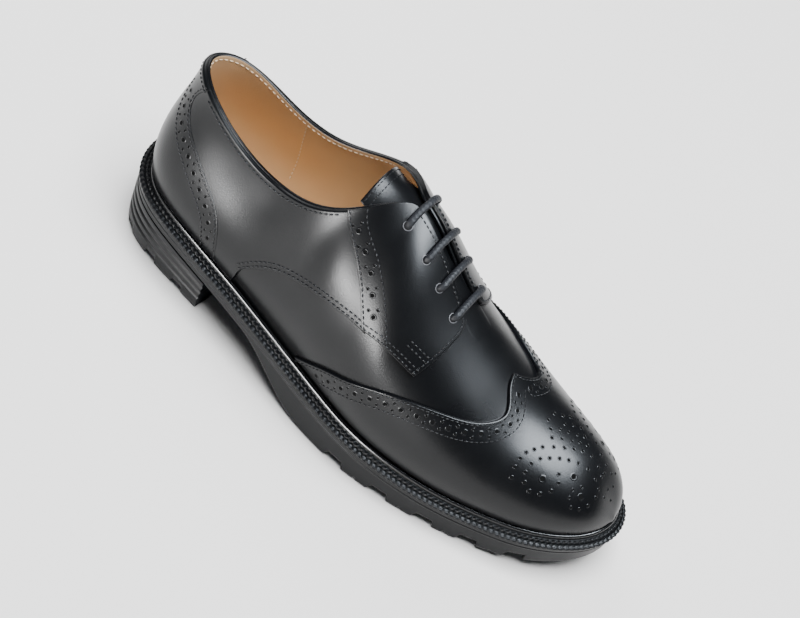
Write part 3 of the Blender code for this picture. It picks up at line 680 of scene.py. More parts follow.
# Medallion on the toe, charted for one half: place along the shoe and across from its ridge
HORN_OUTER = [(244.5, 3), (248.2, 6.2), (251.5, 9.4), (255, 12.5), (251, 16.4), (248.6, 20),
              (246.6, 23.6), (246.2, 27.3), (247, 31), (249, 34.4)]
HORN_INNER = [(252.5, 29.6), (252, 25.5), (253.8, 21.3), (257, 18), (260.7, 14.8), (264.7, 12),
              (269.2, 9.4), (274.6, 6.8)]
HORN_TAIL = [(259.2, 8.8), (263, 5.6), (266.9, 2.6)]
HORN_RING = [(255.4, 32.2), (259.8, 33), (264.6, 31), (267.8, 27.3), (268.2, 23), (265.4, 20.3)]
CENTRE_DOTS = [(251.8, 2.4), (255.3, 6), (255.8, 0), (259.8, 2.9), (263.2, 0), (272, 0), (277.8, 0),
               (282, 1.2), (280.4, 6.2), (284.8, 6.8)]
TOE_DOTS = [(275.4, 19.6), (277.8, 15.2), (276.6, 22.7), (280.2, 24), (283.8, 21.2), (286, 16.6),
            (286.4, 10.4), (288.6, 0), (289.6, 4.6), (293, 0)]
LARGE_DOTS = [(260.8, 26.6), (271.8, 15.6), (280.8, 18)]
MEDALLION = [(HORN_OUTER + HORN_INNER + HORN_TAIL + HORN_RING, 0.88), (CENTRE_DOTS + TOE_DOTS, 0.75),
             (LARGE_DOTS, 1.5)]


def dots_on_toe(chart):
    """Charted places found on the last: the column and girth whose plan is nearest."""
    chart = np.array(chart, float)
    t, g = np.meshgrid(np.linspace(6.4, LOOP - 6.4, 700), np.linspace(0.3, 1, 320), indexing="ij")
    plan = over_last(t, g, CAP_LIFT)[..., :2].reshape(-1, 2)
    paired = chart[chart[:, 1] != 0] * np.array([1, -1])
    both = np.concatenate([chart, paired])
    ridge = np.interp(both[:, 0], LAST["tx"][7:], LAST["ty"][7:])
    wanted = np.stack([both[:, 0], ridge + both[:, 1]], -1)
    nearest = np.array([((plan - place)**2).sum(1).argmin() for place in wanted])
    return t.reshape(-1)[nearest], g.reshape(-1)[nearest]


medallion = []
for chart, radius in MEDALLION:
    dot_t, dot_g = dots_on_toe(chart)
    medallion.append(laid(hole_shape(radius), dot_t, dot_g, CAP_LIFT, np.array([[1.0, 0, 0]])))
add_holes("toe_medallion", medallion)

# The quarters
# Two side panels of calf from the heel counter to the lace facings. They lie over the
# vamp, and their arched lower edge is sewn down with a close double row.
COUNTER_EDGE = [(1.98, 0.0), (1.96, 0.1), (1.65, 0.432), (1.37, 0.525), (1.06, 0.604), (0.72, 0.676),
                (0.55, 0.76), (0.66, 1.0)]
VAMP_ARC = [(2.25, 0.0), (2.34, 0.173), (2.55, 0.317), (2.87, 0.432), (3.17, 0.46), (3.53, 0.44),
            (3.88, 0.405), (4.21, 0.405)]
FACING_REAR = [(4.21, 0.405), (3.94, 0.527), (3.67, 0.692), (3.23, 1.0)]
FACING_FOOT = [(4.21, 0.405), (4.6, 0.446), (5.05, 0.489)]
FACING_FRONT = [(5.05, 0.489), (5.14, 0.619), (5.19, 0.748), (5.19, 0.863), (5.15, 0.906)]


def rounded_share(count, start, end, near):
    """Shares from 0 to 1 with close steps at the rounded ends, and the lift at each share."""
    share = np.linspace(0, 1, count)
    lift = np.ones(count)
    if start:
        share = np.concatenate([[0], near * EDGE_STEPS[1:], near * 1.6 + (1 - near * 1.6) * share])
        lift = np.concatenate([EDGE_LIFTS, lift])
    if end:
        back = 1 - near * EDGE_STEPS[1:][::-1]
        share = np.concatenate([share * (1 - near * 1.6), back, [1]])
        lift = np.concatenate([lift, EDGE_LIFTS[::-1]])
    return share, lift


def filled(bottom, top, rear, front, u, v):
    """Coons patch: the blend of two pairs of edges less the blend of the four corners."""
    def at(line, share):
        s, g = smooth_line(line, 400)
        even = np.linspace(0, 1, 400)
        return np.stack([np.interp(share, even, s), np.interp(share, even, g)], -1)
    low = at(bottom, u)
    high = at(top, u)
    back = at(rear, v)
    fore = at(front, v)
    u = u[None, :, None]
    v = v[:, None, None]
    rails = (1 - v) * low[None] + v * high[None] + (1 - u) * back[:, None] + u * fore[:, None]
    corners = ((1 - u) * (1 - v) * low[0] + u * (1 - v) * low[-1]
               + (1 - u) * v * high[0] + u * v * high[-1])
    return rails - corners


def panel(grid, lift, medial):
    """A patch of (station, girth) as points over the last on one side of the shoe."""
    t = on_side(grid[..., 0], medial)
    g = np.clip(grid[..., 1], girth_above_feather(t, BEAD_CLEAR), 1)
    points = over_last(t, g, lift)
    faces = grid_faces(*t.shape)
    return points.reshape(-1, 3), faces[:, ::-1] if medial else faces, None


def skived(g):
    """Share of a panel's thickness left near the collar, where its edge is pared down."""
    return 1 - 0.5 * eased(g, 0.984, 1.0)


def quarter(medial):
    """Panel whose ends run on under the counter and the facing, with a rounded foot."""
    tuck = np.array([0.05, 0])
    rear = [tuple(np.array(place) - tuck) for place in COUNTER_EDGE]
    front = [tuple(np.array(place) + tuck) for place in FACING_REAR]
    foot = [rear[0]] + VAMP_ARC[:-1] + [front[0]]
    u = np.linspace(0, 1, 150)
    v, lift = rounded_share(60, True, True, 0.012)
    grid = filled(foot, [rear[-1], front[-1]], rear, front, u, v)
    return panel(grid, WALL + (SEAT + OVERLAY) * lift[:, None] * skived(grid[..., 1]), medial)


for medial, node in ((False, "quarter_lateral"), (True, "quarter_medial")):
    side_panel = add_piece(node + "_leather", *quarter(medial)[:2], [CALF], "upper_leather")
    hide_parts(node)
DOUBLE_ROW = (1.4, 3.6)
quarter_rows = []
arc_s, arc_g = smooth_line(VAMP_ARC[1:], 300)
for medial in (False, True):
    for distance in DOUBLE_ROW:
        quarter_rows.append(inset_line(on_side(arc_s, medial), arc_g, distance, 1 if medial else -1))
for part in (slice(0, 155), slice(245, 400)):
    quarter_rows.append((collar_low[0][part], collar_low[1][part]))
add_stitches("quarter_stitches", quarter_rows, CAP_LIFT + 0.05, 2.8, 0.85)

# The heel counter
# A calf panel round the back of the heel over both quarters. Its S-shaped front edges
# carry the same band of holes between two rows of stitches.
COUNTER = 1.4
COUNTER_LIFT = WALL + SEAT + COUNTER


def counter_panel():
    """Rows of even girth from one front edge round the heel to the other."""
    s, g = smooth_line(COUNTER_EDGE, 120)
    g = np.append(np.maximum.accumulate(g), 1)
    s = np.append(s, s[-1])
    share, lift = rounded_share(120, True, True, 0.006)
    t = s[:, None] * (2 * share - 1)[None]
    girth = np.clip(g[:, None], girth_above_feather(t, BEAD_CLEAR), 1)
    share_up = skived(girth)
    share_up[-1] = 0
    points = over_last(t, girth, WALL + (SEAT + COUNTER) * lift[None] * share_up)
    return points, grid_faces(*t.shape)


counter = add_piece("heel_counter_leather", *counter_panel(), [CALF], "upper_leather")
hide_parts("heel_counter")
COUNTER_ROW = 1.4
COUNTER_BAND = 5.5
COUNTER_INNER_ROW = 9.6
counter_rows = [(collar_low[0][160:240], collar_low[1][160:240])]
counter_bands = []
edge_s, edge_g = smooth_line(COUNTER_EDGE[1:], 300)
for hand in (-1, 1):
    edge_t = hand * edge_s
    counter_rows.append(inset_line(edge_t, edge_g, COUNTER_ROW, -hand))
    counter_rows.append(inset_line(edge_t[:-40], edge_g[:-40], COUNTER_INNER_ROW, -hand))
    band_t, band_g = inset_line(edge_t[10:-40], edge_g[10:-40], COUNTER_BAND, -hand)
    counter_bands.append(brogue_band(band_t, band_g, COUNTER_LIFT))
add_stitches("heel_counter_stitches", counter_rows, COUNTER_LIFT)
add_holes("heel_counter_brogueing", counter_bands)

# The tongue
# It grows out of the vamp at the foot of the slit, runs under the facings and stands out
# over the throat. The top edge is turned and sewn with two rows.
TONGUE = 1.8
TONGUE_SEAT = 0.5
TONGUE_HALF = 17
TONGUE_MIDDLE = -1.5
# Head of the tongue: place along the shoe, height of the crest, radius of the arch
TONGUE_HEAD = [(128.5, 119.7, 17), (120, 120.6, 16), (111.5, 122.6, 16)]


def tongue_sheet():
    """Rows along the ridge: laid over the vamp with a feathered edge, sunk in the slit, then
    the arched head.
    """
    columns = 81
    across = np.linspace(-1, 1, columns)
    g = 1 - 0.2 * np.abs(across)
    rows = []
    for station in np.linspace(5.8, 4.12, 64):
        t = np.where(across > 0, LOOP - station, station)
        slit = np.interp(station, [place[0] for place in SLIT], [place[1] for place in SLIT])
        between = np.clip((g - slit) / 0.012 + 1, 0, 1) * eased(station, 4.55, 5.0)
        in_slit = -TONGUE_SEAT + between * (WALL + 0.1 + TONGUE_SEAT)
        over_vamp = WALL + 0.12 - 0.6 * (eased(station, 5.3, 5.75) + eased(1 - g, 0.08, 0.16))
        share = eased(station, 5.12, 5.17)
        lift = (1 - share) * in_slit + share * over_vamp
        rows.append(last(t, g) + lift[:, None] * normal(t, g))
    y = TONGUE_HALF * across
    for x, crest, radius in TONGUE_HEAD:
        rows.append(np.stack([0 * y + x, TONGUE_MIDDLE + y, crest - y**2 / (2 * radius)], -1))
    rows = np.array(rows)
    run = run_along(rows[:, columns // 2])
    at = np.linspace(0, run[-1], 140)
    sheet = np.stack([[spline(run, rows[:, j, k], at) for j in range(columns)] for k in range(3)], -1)
    return sheet.transpose(1, 0, 2)


tongue_points = tongue_sheet()
tongue = add_piece("tongue_leather", tongue_points, grid_faces(*tongue_points.shape[:2]), [CALF],
                   "upper_leather")
tongue_wall = tongue.modifiers.new("leather", "SOLIDIFY")
tongue_wall.thickness = TONGUE * MM
tongue_wall.offset = -1
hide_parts("tongue")


def tongue_stitches(rows_from_end):
    """Stitches across the head of the tongue, a few rows of its grid below the top edge."""
    line = tongue_points[-1 - rows_from_end]
    run = run_along(line)
    at = np.arange(2.6, run[-1] - 2.4, 2.3)
    places = at_length(line, run, at)
    along = unit(at_length(line, run, at + 0.3) - at_length(line, run, at - 0.3))
    back = unit(tongue_points[-1] - tongue_points[-6])[40]
    upward = unit(np.cross(back[None], along))
    upward = upward * np.sign(upward[:, 2:])
    return repeated(stitch_shape(1.8, 0.5), places + 0.1 * upward, along, upward)


add_piece("tongue_stitches", *joined([tongue_stitches(2), tongue_stitches(6)])[:2], [THREAD],
          "upper_leather")

# The lace facings
# Two calf panels over the front of the quarters, each with four lace holes. A strip of
# brogue holes runs down behind them between two rows of stitches, and a small bar tack
# holds the lower front corner.
FACING = 1.4
FACING_LIFT = WALL + SEAT + FACING
STRIP_FRONT = [(3.47, 0.986), (3.91, 0.69), (4.22, 0.583), (4.58, 0.46)]
REAR_ROW = 1.3
SLIT_ROW = 2.2
FRONT_ROW = 2.0
TACK_ROWS = (8.4, 10.9)
STRIP_PITCH = 8.8
PAIR_BACK = 3.2
PAIR_OUT = 2.1
PAIR_REACH = 3.8
RIM = 0.17


def facing(medial):
    """Panel with rounded rear, front, foot and slit edges, punched for the laces."""
    u, lift_u = rounded_share(80, True, True, 0.013)
    v, lift_v = rounded_share(80, True, True, 0.013)
    grid = filled(FACING_FOOT, FACING_TOP + SLIT, FACING_REAR, FACING_FRONT, u, v)
    share = np.minimum(lift_u[None], lift_v[:, None])
    points, faces, _ = panel(grid, WALL + (SEAT + FACING) * share, medial)
    return punched(points, faces)[:2]


def eyelet_rim():
    """A thin ring: a small circle carried round the lace hole, closed both ways."""
    turn = np.linspace(0, 2 * np.pi, 28, endpoint=False)[:, None]
    ring = np.linspace(0, 2 * np.pi, 8, endpoint=False)[None]
    size = EYELET_RADIUS + RIM * np.cos(ring)
    points = np.stack([size * np.cos(turn), size * np.sin(turn), RIM * np.sin(ring) + 0 * turn], -1)
    faces = grid_faces(29, 8, closed=True) % (28 * 8)
    return points.reshape(-1, 3), faces[:, ::-1], None


facing_rows = []
strip_holes = []
eyelet_rims = []
for medial, node in ((False, "facing_lateral"), (True, "facing_medial")):
    flap = add_piece(node + "_leather", *facing(medial), [CALF], "upper_leather")
    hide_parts(node)
    hand = 1 if medial else -1
    rear_s, rear_g = smooth_line(FACING_REAR, 200)
    facing_rows.append(inset_line(on_side(rear_s, medial), rear_g, REAR_ROW, -hand))
    strip_s, strip_g = smooth_line(STRIP_FRONT, 200)
    facing_rows.append((on_side(strip_s, medial), strip_g))
    edge_s, edge_g = smooth_line(SLIT, 200)
    facing_rows.append(inset_line(on_side(edge_s, medial), edge_g, SLIT_ROW, -hand))
    edge_s, edge_g = smooth_line(FACING_FRONT, 200)
    facing_rows.append(inset_line(on_side(edge_s, medial), edge_g, FRONT_ROW, hand))
    foot_s, foot_g = smooth_line(FACING_FOOT, 100)
    for distance in DOUBLE_ROW:
        facing_rows.append(inset_line(on_side(foot_s, medial), foot_g, distance, hand))
    for distance in TACK_ROWS:
        facing_rows.append(inset_line(on_side(foot_s[58:97], medial), foot_g[58:97], distance, hand))
    middle_t = on_side(0.5 * (rear_s[::-1] + strip_s), medial)[30:190]
    middle_g = 0.5 * (rear_g[::-1] + strip_g)[30:190]
    large_t, large_g, run = evenly(middle_t, middle_g, FACING_LIFT, STRIP_PITCH)
    across = np.cross(normal(large_t, large_g), run)
    strip_holes.append(laid(hole_shape(LARGE_HOLE), large_t, large_g, FACING_LIFT + 0.03, run))
    for way in (-1, 1):
        toward = unit(-PAIR_BACK * run + way * PAIR_OUT * across)
        small_t, small_g = walk(large_t, large_g, toward, PAIR_REACH)
        strip_holes.append(laid(hole_shape(SMALL_HOLE), small_t, small_g, FACING_LIFT + 0.03, run))
    hole_s, hole_g = np.array(EYELETS).T
    eyelet_rims.append(laid(eyelet_rim(), on_side(hole_s, medial), hole_g, FACING_LIFT,
                            np.array([[1.0, 0, 0]])))
add_stitches("facing_stitches", facing_rows, FACING_LIFT, 2.6, 0.75)
add_holes("facing_brogueing", strip_holes)
# The rims are pale grey as a painted highlight: the glint on the edge of each lace hole.
EYELET_GLINT = grained("painted_eyelet_glint", (0.15, 0.155, 0.17), (0.22, 0.23, 0.25), shine=(0.3, 0.42),
                      cells=2000, bump=0.1)
add_piece("eyelet_rims", *joined(eyelet_rims)[:2], [EYELET_GLINT], "upper_leather")

# The welt
# A moulded rubber strip sewn all round the feather line. A smooth bead lies against the
# upper, then a row of dots in a groove, then an outer lip roped with two slanted strands.
RUBBER = grained("black_rubber", (0.003, 0.0033, 0.004), (0.0055, 0.006, 0.007), shine=(0.34, 0.48),
                 cells=900, bump=0.12, gloss=0.17, clouds=60)
SHINY_RUBBER = grained("shiny_rubber_bead", (0.003, 0.0033, 0.004), (0.005, 0.0055, 0.0065),
                       shine=(0.16, 0.24), cells=900, bump=0.06, gloss=0.6)
WELT_BASE = -6.9
# Section of the strip, inside foot to outside foot: width out from the feather line, height
WELT_PROFILE = [(2.35, WELT_BASE), (2.35, -0.7), (2.6, -0.05), (3.1, 0.22), (3.7, 0.16), (4.2, -0.25),
                (4.55, -1.2), (4.75, -2.1), (5.0, -2.35), (5.9, -2.35), (6.8, -2.75), (7.0, -3.5),
                (7.3, -3.75), (7.6, -3.55), (8.2, -3.3), (8.8, -3.55), (9.1, -4.0), (9.2, -4.6),
                (9.15, -5.6), (8.9, WELT_BASE)]
BEAD_WIDTH = 4.6
BEAD_DEPTH = -1.6
DOT_MIDDLE = 5.9
DOT_HALF = 0.85
RELIEF = 0.8
ROPE_PITCH = 3.0
# Strands of the rope: middle of each as a share of the lip, and its slant in pitches
STRANDS = [(0.27, 0.32), (0.77, -0.32)]


def run_round(width):
    """Length along the welt's edge for loop stations, from the outline at one width."""
    t = np.linspace(0, LOOP, 2400)
    foot, out = feather(t)
    return t, run_along(foot + width * out)


def welt_strip():
    """The profile carried round; dots rise from its groove and two slanted rows of strands
    rise from its lip, all along the profile's own normal.
    """
    t_run, run = run_round(8.2)
    count = 2100
    length = np.arange(count) * run[-1] / count
    t = np.interp(length, run, t_run)
    pitch = run[-1] / round(run[-1] / ROPE_PITCH)
    phase = length[None] / pitch
    knots = np.array(WELT_PROFILE)
    steps = run_along(knots)
    fine = np.concatenate([np.linspace(0, steps[7], 12, endpoint=False),
                           np.linspace(steps[7], steps[18], 28, endpoint=False), steps[18:]])
    width = np.interp(fine, steps, knots[:, 0])
    height = np.interp(fine, steps, knots[:, 1])
    normal_width = -np.gradient(height, fine)[:, None]
    normal_height = np.gradient(width, fine)[:, None]
    dot = 1 - ((width[:, None] - DOT_MIDDLE) / DOT_HALF)**2 - (2.4 * (np.mod(phase, 1) - 0.5))**2
    on_groove = (fine > steps[7]) & (fine < steps[11])
    bump = RELIEF * np.sqrt(np.maximum(dot, 0)) * on_groove[:, None]
    lip = steps[17] - steps[11]
    for middle, slant in STRANDS:
        across = ((fine - steps[11]) / lip - middle) / 0.25
        strand = np.abs(np.sin(np.pi * (phase + slant * across[:, None])))**0.6
        bump = bump + RELIEF * np.sqrt(np.maximum(1 - across**2, 0))[:, None] * strand
    foot, out = feather(t)
    points = foot[None] + (width[:, None] + bump * normal_width)[..., None] * out[None]
    points[..., 2] += height[:, None] + bump * normal_height
    on_bead = ((width < BEAD_WIDTH) & (height > BEAD_DEPTH))[::-1]
    marks = np.repeat(on_bead[:-1] & on_bead[1:], count).astype(int)
    return points[::-1], grid_faces(len(fine), count, closed=True), marks


welt_points, welt_faces, welt_marks = welt_strip()
welt = add_piece("storm_welt", welt_points, welt_faces, [RUBBER, SHINY_RUBBER], "sole_rubber",
                 welt_marks)
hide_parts("welt")

# The outsole
# Moulded black rubber with arch and toe spring. A shallow step runs under the welt, and
# the side is cut into lugs with a steep rear face, a sloped front and a small nick.
SOLE_BED = -3.6
SOLE_RIM = -7.2
PLATE = 12.2
TREAD_FROM = 154
TREAD_TO = 236
WAIST_FROM = 100
TOE_END = 306
TOE_SPRING = 14
LUG_DEPTH = 4.2
LUG_GAP = 10.5
LUG_REACH = 15
LUG_GAP_STATIONS = [4.78, 5.45, 6.08, 6.77, 7.55]
NICK_DEPTH = 1.2
GROOVE_START = 160
GROOVE_PITCH = 23
GROOVE_HALF = 3.4
GROOVE_BOW = 12
GROOVE_DEPTH = 2.6
SOLE_EDGE = 8.0
# Lower edge of the side: width out from the feather line, rise, share of the gap's depth
SOLE_LOWER = [(-LUG_REACH + 7.4, 0, 0), (-LUG_REACH + 7.5, 0, 1), (0, 0, 1), (5, 0, 1), (7.0, 0, 1),
              (7.5, 0.12, 1), (7.9, 0.5, 1), (8.2, 1.3, 1)]
# Step under the welt: width out from the feather line, height from the sole's rim
SOLE_STEP = [(8.35, -1.7), (8.45, -1.5), (8.75, -1.35), (8.85, -1.1), (8.85, 0), (2.0, 0),
             (1.6, SOLE_BED - SOLE_RIM)]


def sole_bottom(x):
    """Lower face: plate under the feather line, waist, flat tread, toe spring."""
    down = eased(x, WAIST_FROM, TREAD_FROM)
    spring = TOE_SPRING * np.clip((x - TREAD_TO) / (TOE_END - TREAD_TO), 0, None)**1.8
    return (1 - down) * (spline(FEATHER_X, FEATHER_Z, x) - PLATE) + down * spring


def lug_gap(t):
    """Share of the full gap depth at loop station t, and of the small nicks between gaps."""
    t_run, run = run_round(SOLE_EDGE)
    length = np.interp(t, t_run, run)
    gap = 0 * length
    nick = 0 * length
    for medial in (False, True):
        places = np.interp([on_side(s, medial) for s in LUG_GAP_STATIONS], t_run, run)
        way = -1 if medial else 1
        for place in places:
            ahead = way * (length - place)
            sloped = np.clip((ahead + 0.5 * LUG_GAP + 1.1) / 2.2, 0, 1)
            steep = np.clip((0.5 * LUG_GAP - ahead) / 0.5, 0, 1)
            gap = np.maximum(gap, sloped * steep)
        for place in 0.5 * (places[1:] + places[:-1]):
            nick = np.maximum(nick, np.clip(1.5 - np.abs(length - place) / 0.75, 0, 1))
    return gap, nick


def outsole_side():
    """Rings from inside the gaps round the lower edge and up the side to the welt's seat."""
    t = np.linspace(0, LOOP, 1100, endpoint=False)
    foot, out = feather(t)
    gap, nick = lug_gap(t)
    rings = []
    for width, rise, depth in SOLE_LOWER:
        ring = foot + width * out
        ring[:, 2] = sole_bottom(ring[:, 0]) + rise + depth * gap * LUG_DEPTH
        if width > 7:
            ring[:, 2] += NICK_DEPTH * nick * (1 - gap)
        rings.append(ring)
    step_width, step_height = SOLE_STEP[0]
    step = foot + step_width * out
    step[:, 2] += SOLE_RIM + step_height
    low = rings[-1]
    for share in (0.1, 0.35, 0.65, 0.9):
        rings.append((1 - share) * low + share * step)
    for width, height in SOLE_STEP:
        ring = foot + width * out
        ring[:, 2] += SOLE_RIM + height
        rings.append(ring)
    return np.array(rings).reshape(-1, 3), grid_faces(len(rings), len(t), closed=True), None


def outsole_tread():
    """The middle of the tread between the side gaps, with shallow cross grooves."""
    sheet = across_sole(-LUG_REACH + 7.45, 0, 41, 500)
    x = sheet[..., 0]
    across = np.linspace(-1, 1, 41)[:, None]
    bowed = (x - GROOVE_BOW * across**2 - GROOVE_START) / GROOVE_PITCH
    wave = np.abs(np.mod(bowed, 1) - 0.5) * GROOVE_PITCH
    tread = np.clip((x - TREAD_FROM) / 4, 0, 1) * np.clip((TREAD_TO + 30 - x) / 4, 0, 1)
    inside = np.clip((0.86 - np.abs(across)) / 0.05, 0, 1)
    groove = np.clip((GROOVE_HALF - wave) / 0.6, 0, 1) * inside * tread
    sheet[..., 2] = sole_bottom(x) + GROOVE_DEPTH * groove
    return sheet.reshape(-1, 3), grid_faces(41, 500)[:, ::-1], None


def outsole_bed():
    """Top face under the insole."""
    sheet = across_sole(1.6, SOLE_BED, 9, 160)
    return sheet.reshape(-1, 3), grid_faces(9, 160), None


outsole_points, outsole_faces, _ = joined([outsole_side(), outsole_tread(), outsole_bed()])
outsole = add_piece("lugged_outsole", outsole_points, outsole_faces, [RUBBER], "sole_rubber")
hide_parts("outsole")

# The heel
# A stacked rubber block under the heel seat. Three ribs run round its side, and notches
# in the lower edge give it grip.
HEEL_STATION = 2.05
HEEL_NOTCH_STATIONS = [-1.7, -1.21, -0.72, 0.0, 0.72, 1.21, 1.7]
NOTCH_HALF = 3.9
NOTCH_REACH = -4.0
# Side of the block: share of its height, width out from the feather line
HEEL_SIDE = [(0.0, 4.3), (0.012, 4.75), (0.12, 5.5), (0.33, 6.3), (0.36, 6.3), (0.375, 5.6), (0.43, 5.7),
             (0.445, 6.5), (0.47, 6.75), (0.55, 7.0), (0.575, 6.95), (0.59, 6.2), (0.64, 6.3), (0.655, 7.2),
             (0.68, 7.4), (0.76, 7.65), (0.785, 7.6), (0.80, 6.8), (0.85, 6.9), (0.865, 7.8), (0.89, 8.0),
             (0.98, 8.25), (1.0, 8.2)]


def heel_block():
    """Ribbed rings round the back, closed by a breast face in front and a flat underside."""
    t = np.linspace(-HEEL_STATION, HEEL_STATION, 420)
    foot, out = feather(t)
    t_run, run = run_round(6.0)
    length = np.interp(np.mod(t, LOOP), t_run, run)
    notch = 0 * t
    for station in HEEL_NOTCH_STATIONS:
        place = np.interp(np.mod(station, LOOP), t_run, run)
        away = np.abs(np.mod(length - place + 0.5 * run[-1], run[-1]) - 0.5 * run[-1])
        notch = np.maximum(notch, np.clip((NOTCH_HALF - away) / 0.4, 0, 1))
    rings = []
    for width, depth in ((NOTCH_REACH - 0.1, 0), (NOTCH_REACH, 1), (0, 1)):
        ring = foot + width * out
        ring[:, 2] = depth * notch * LUG_DEPTH
        rings.append(ring)
    for share, width in HEEL_SIDE:
        ring = foot + width * out
        top = sole_bottom(ring[:, 0]) - 0.02
        ring[:, 2] = np.maximum(share * top, notch * LUG_DEPTH + 0.02 * share)
        rings.append(ring)
    rings = np.array(rings)
    v = np.linspace(0, 1, 15)[:, None, None]
    breast = (1 - v) * rings[None, :, 0] + v * rings[None, :, -1]
    middle = len(t) // 2
    half = np.linspace(0, 1, 9)[:, None, None]
    under, lid = [(1 - half) * ring[None, :middle] + half * ring[None, :middle - 1:-1]
                  for ring in (rings[0], rings[-1])]
    flat = grid_faces(9, middle)
    return joined([(rings.reshape(-1, 3), grid_faces(len(rings), len(t)), None),
                   (breast.reshape(-1, 3), grid_faces(15, len(rings)), None),
                   (under.reshape(-1, 3), flat[:, ::-1], None),
                   (lid.reshape(-1, 3), flat, None)])


heel = add_piece("ribbed_heel", *heel_block()[:2], [RUBBER], "sole_rubber")
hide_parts("heel")

# The lace
# One round waxed cord laced in straight bars. It dives through each lace hole, runs up
# under the facings to the next one, and both ends stop inside at the top pair.
LACE_HALF_WIDTH = 1.9
LACE_HALF_HEIGHT = 1.4
LACE_CLEAR = 0.3


def lace_cord(name, dark, light):
    """Cord material: a diagonal braid read from the cord's own UV, as bump in place of grain."""
    material = grained(name, dark, light, shine=(0.5, 0.65), cells=3000, bump=0.2, gloss=0.3)
    tree = material.node_tree
    place = tree.nodes.new("ShaderNodeUVMap").outputs["UV"]
    split = wired(tree, "ShaderNodeSeparateXYZ", {"Vector": place}).outputs
    strands = []
    for slant in (1, -1):
        mix = wired(tree, "ShaderNodeMath", {0: split["Y"], 1: 4 * slant, 2: split["X"]},
                    operation="MULTIPLY_ADD")
        wave = wired(tree, "ShaderNodeMath", {0: mix.outputs["Value"], 1: 0.5}, operation="PINGPONG")
        strands.append(wave.outputs["Value"])
    higher = wired(tree, "ShaderNodeMath", {0: strands[0], 1: strands[1]}, operation="MAXIMUM")
    weave = wired(tree, "ShaderNodeBump", {"Strength": 0.7, "Distance": 0.0005,
                                           "Height": higher.outputs["Value"]})
    feed(tree, tree.nodes["Principled BSDF"], {"Normal": weave.outputs["Normal"]})
    return material


def lace_route():
    """Bars 1, 3, 4 and 2 in lacing order, each over the facings and down into its holes."""
    bar = FACING_LIFT + LACE_CLEAR + LACE_HALF_HEIGHT
    turn_down = np.array([(-0.012, -2.6), (-0.010, 0.6), (-0.004, bar - 2.0), (0.002, bar - 1.0),
                          (0.015, bar - 0.3), (0.04, bar), (0.09, bar)])
    places = []
    for number, medial_first in ((1, False), (3, True), (4, False), (2, True)):
        station, eyelet = EYELETS[number - 1]
        girth = eyelet + turn_down[:, 0]
        sides = [np.full(len(girth), on_side(station, side)) for side in (medial_first, not medial_first)]
        first, second = [last(t, girth) + turn_down[:, 1:] * normal(t, girth) for t in sides]
        crest = last(station, 1.0) + bar * unit(normal(station, 0.995) + normal(LOOP - station, 0.995))
        places += [first, crest[None], second[::-1]]
    route = np.concatenate(places)
    run = run_along(route)
    at = np.arange(0, run[-1], 0.5)
    return np.stack([spline(run, route[:, k], at) for k in range(3)], -1), at


def lace_tube():
    """An oval carried along the route, square to it, its long way with the shoe."""
    route, run = lace_route()
    along = unit(np.gradient(route, axis=0))
    side = unit(np.cross(along, np.array([1.0, 0, -0.5])))
    other = np.cross(along, side)
    turn = np.linspace(0, 2 * np.pi, 17)
    high = LACE_HALF_HEIGHT * np.cos(turn)[None, :, None] * side[:, None]
    points = route[:, None] + high + LACE_HALF_WIDTH * np.sin(turn)[None, :, None] * other[:, None]
    uv = np.stack(np.broadcast_arrays(run[:, None] / 2.2, (turn / (2 * np.pi))[None]), -1)
    return points, grid_faces(len(route), 17), uv.reshape(-1, 2)


lace_points, lace_faces, lace_uv = lace_tube()
CORD = lace_cord("waxed_lace", (0.0035, 0.004, 0.006), (0.0075, 0.0088, 0.013))
lace = add_piece("lace", lace_points, lace_faces, [CORD], "lace_cord")
uv_layer = lace.data.uv_layers.new(name="cord")
corner = np.empty(len(lace.data.loops), np.int32)
lace.data.loops.foreach_get("vertex_index", corner)
uv_layer.data.foreach_set("uv", lace_uv[corner].astype(np.float32).reshape(-1))
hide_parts("lace_bar_1", "lace_bar_2", "lace_bar_3", "lace_bar_4")

# Floor, light and camera
# A plain pale floor under one wide wash, a soft light above the toe, a low one on the outer
# side that streaks the leather, and a weak fill. The camera has the photograph's angle.
floor_mesh = bpy.data.meshes.new("floor")
floor_mesh.from_pydata([(-6, -6, 0), (6, -6, 0), (6, 6, 0), (-6, 6, 0)], [], [(0, 1, 2, 3)])
floor = bpy.data.objects.new("floor", floor_mesh)
bpy.context.scene.collection.objects.link(floor)
pale = bpy.data.materials.new("pale_floor")
pale.use_nodes = True
feed(pale.node_tree, pale.node_tree.nodes["Principled BSDF"], {
    "Base Color": (0.88, 0.88, 0.88, 1), "Roughness": 0.9, "Specular IOR Level": 0})
floor_mesh.materials.append(pale)

world = bpy.data.worlds.new("studio")
bpy.context.scene.world = world
world.use_nodes = True
feed(world.node_tree, world.node_tree.nodes["Background"], {
    "Color": (0.9, 0.95, 1.0, 1), "Strength": 0.07})


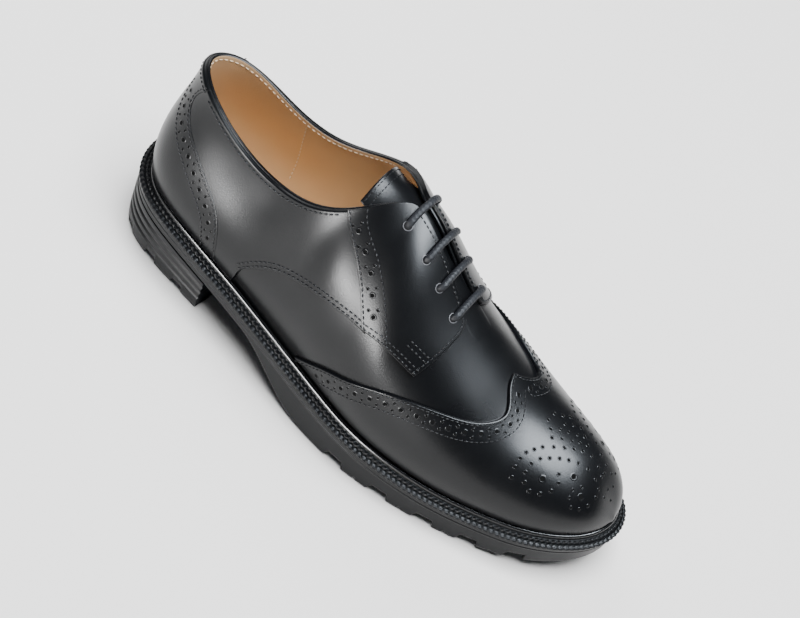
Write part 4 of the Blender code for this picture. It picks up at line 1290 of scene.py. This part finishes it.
def soft_light(name, place, aim, width, height, power):
    """Area light at a place in metres, turned to face its aim."""
    data = bpy.data.lights.new(name, "AREA")
    data.shape = "RECTANGLE"
    data.size = width
    data.size_y = height
    data.energy = power
    lamp = bpy.data.objects.new(name, data)
    bpy.context.scene.collection.objects.link(lamp)
    back = unit(np.array(place, float) - np.array(aim, float))
    right = unit(np.cross(np.array([0.0, 0.05, 1.0]), back))
    up = np.cross(back, right)
    turned = np.eye(4)
    turned[:3, :4] = np.stack([right, up, back, place], -1)
    lamp.matrix_world = Matrix(turned.tolist())
    return lamp


wash = soft_light("floor_wash", (0.1, -0.1, 2.5), (0, 0, 0), 2.0, 2.0, 195)
wash.visible_glossy = False
overhead = soft_light("overhead", (0.45, 0.06, 1.05), (0.06, 0, 0.05), 0.7, 0.5, 50)
overhead.data.color = (0.86, 0.93, 1.0)
overhead.visible_diffuse = False
outer_side = soft_light("outer_side", (-0.22, -1.5, 0.17), (0.0, 0, 0.05), 0.9, 0.26, 56)
outer_side.visible_diffuse = False
soft_light("heel_fill", (-1.0, 0.7, 0.9), (-0.05, 0, 0.05), 0.7, 0.7, 9)

CAMERA_AIM = np.array([-0.000516, 0.004535, 0.055])
CAMERA_AZIMUTH = np.radians(9.056)
CAMERA_ELEVATION = np.radians(46.482)
CAMERA_ROLL = np.radians(33.814)
CAMERA_DISTANCE = 1.0785
camera_data = bpy.data.cameras.new("camera")
camera_data.lens = 98
camera_data.sensor_width = 36
camera = bpy.data.objects.new("camera", camera_data)
bpy.context.scene.collection.objects.link(camera)
back = np.array([np.sin(CAMERA_AZIMUTH) * np.cos(CAMERA_ELEVATION),
                 -np.cos(CAMERA_AZIMUTH) * np.cos(CAMERA_ELEVATION), np.sin(CAMERA_ELEVATION)])
right = np.array([np.cos(CAMERA_AZIMUTH), np.sin(CAMERA_AZIMUTH), 0])
up = np.cross(back, right)
rolled_right = np.cos(CAMERA_ROLL) * right + np.sin(CAMERA_ROLL) * up
rolled_up = -np.sin(CAMERA_ROLL) * right + np.cos(CAMERA_ROLL) * up
camera_frame = np.eye(4)
camera_frame[:3] = np.stack([rolled_right, rolled_up, back, CAMERA_AIM + CAMERA_DISTANCE * back], -1)
camera.matrix_world = Matrix(camera_frame.tolist())
bpy.context.scene.camera = camera
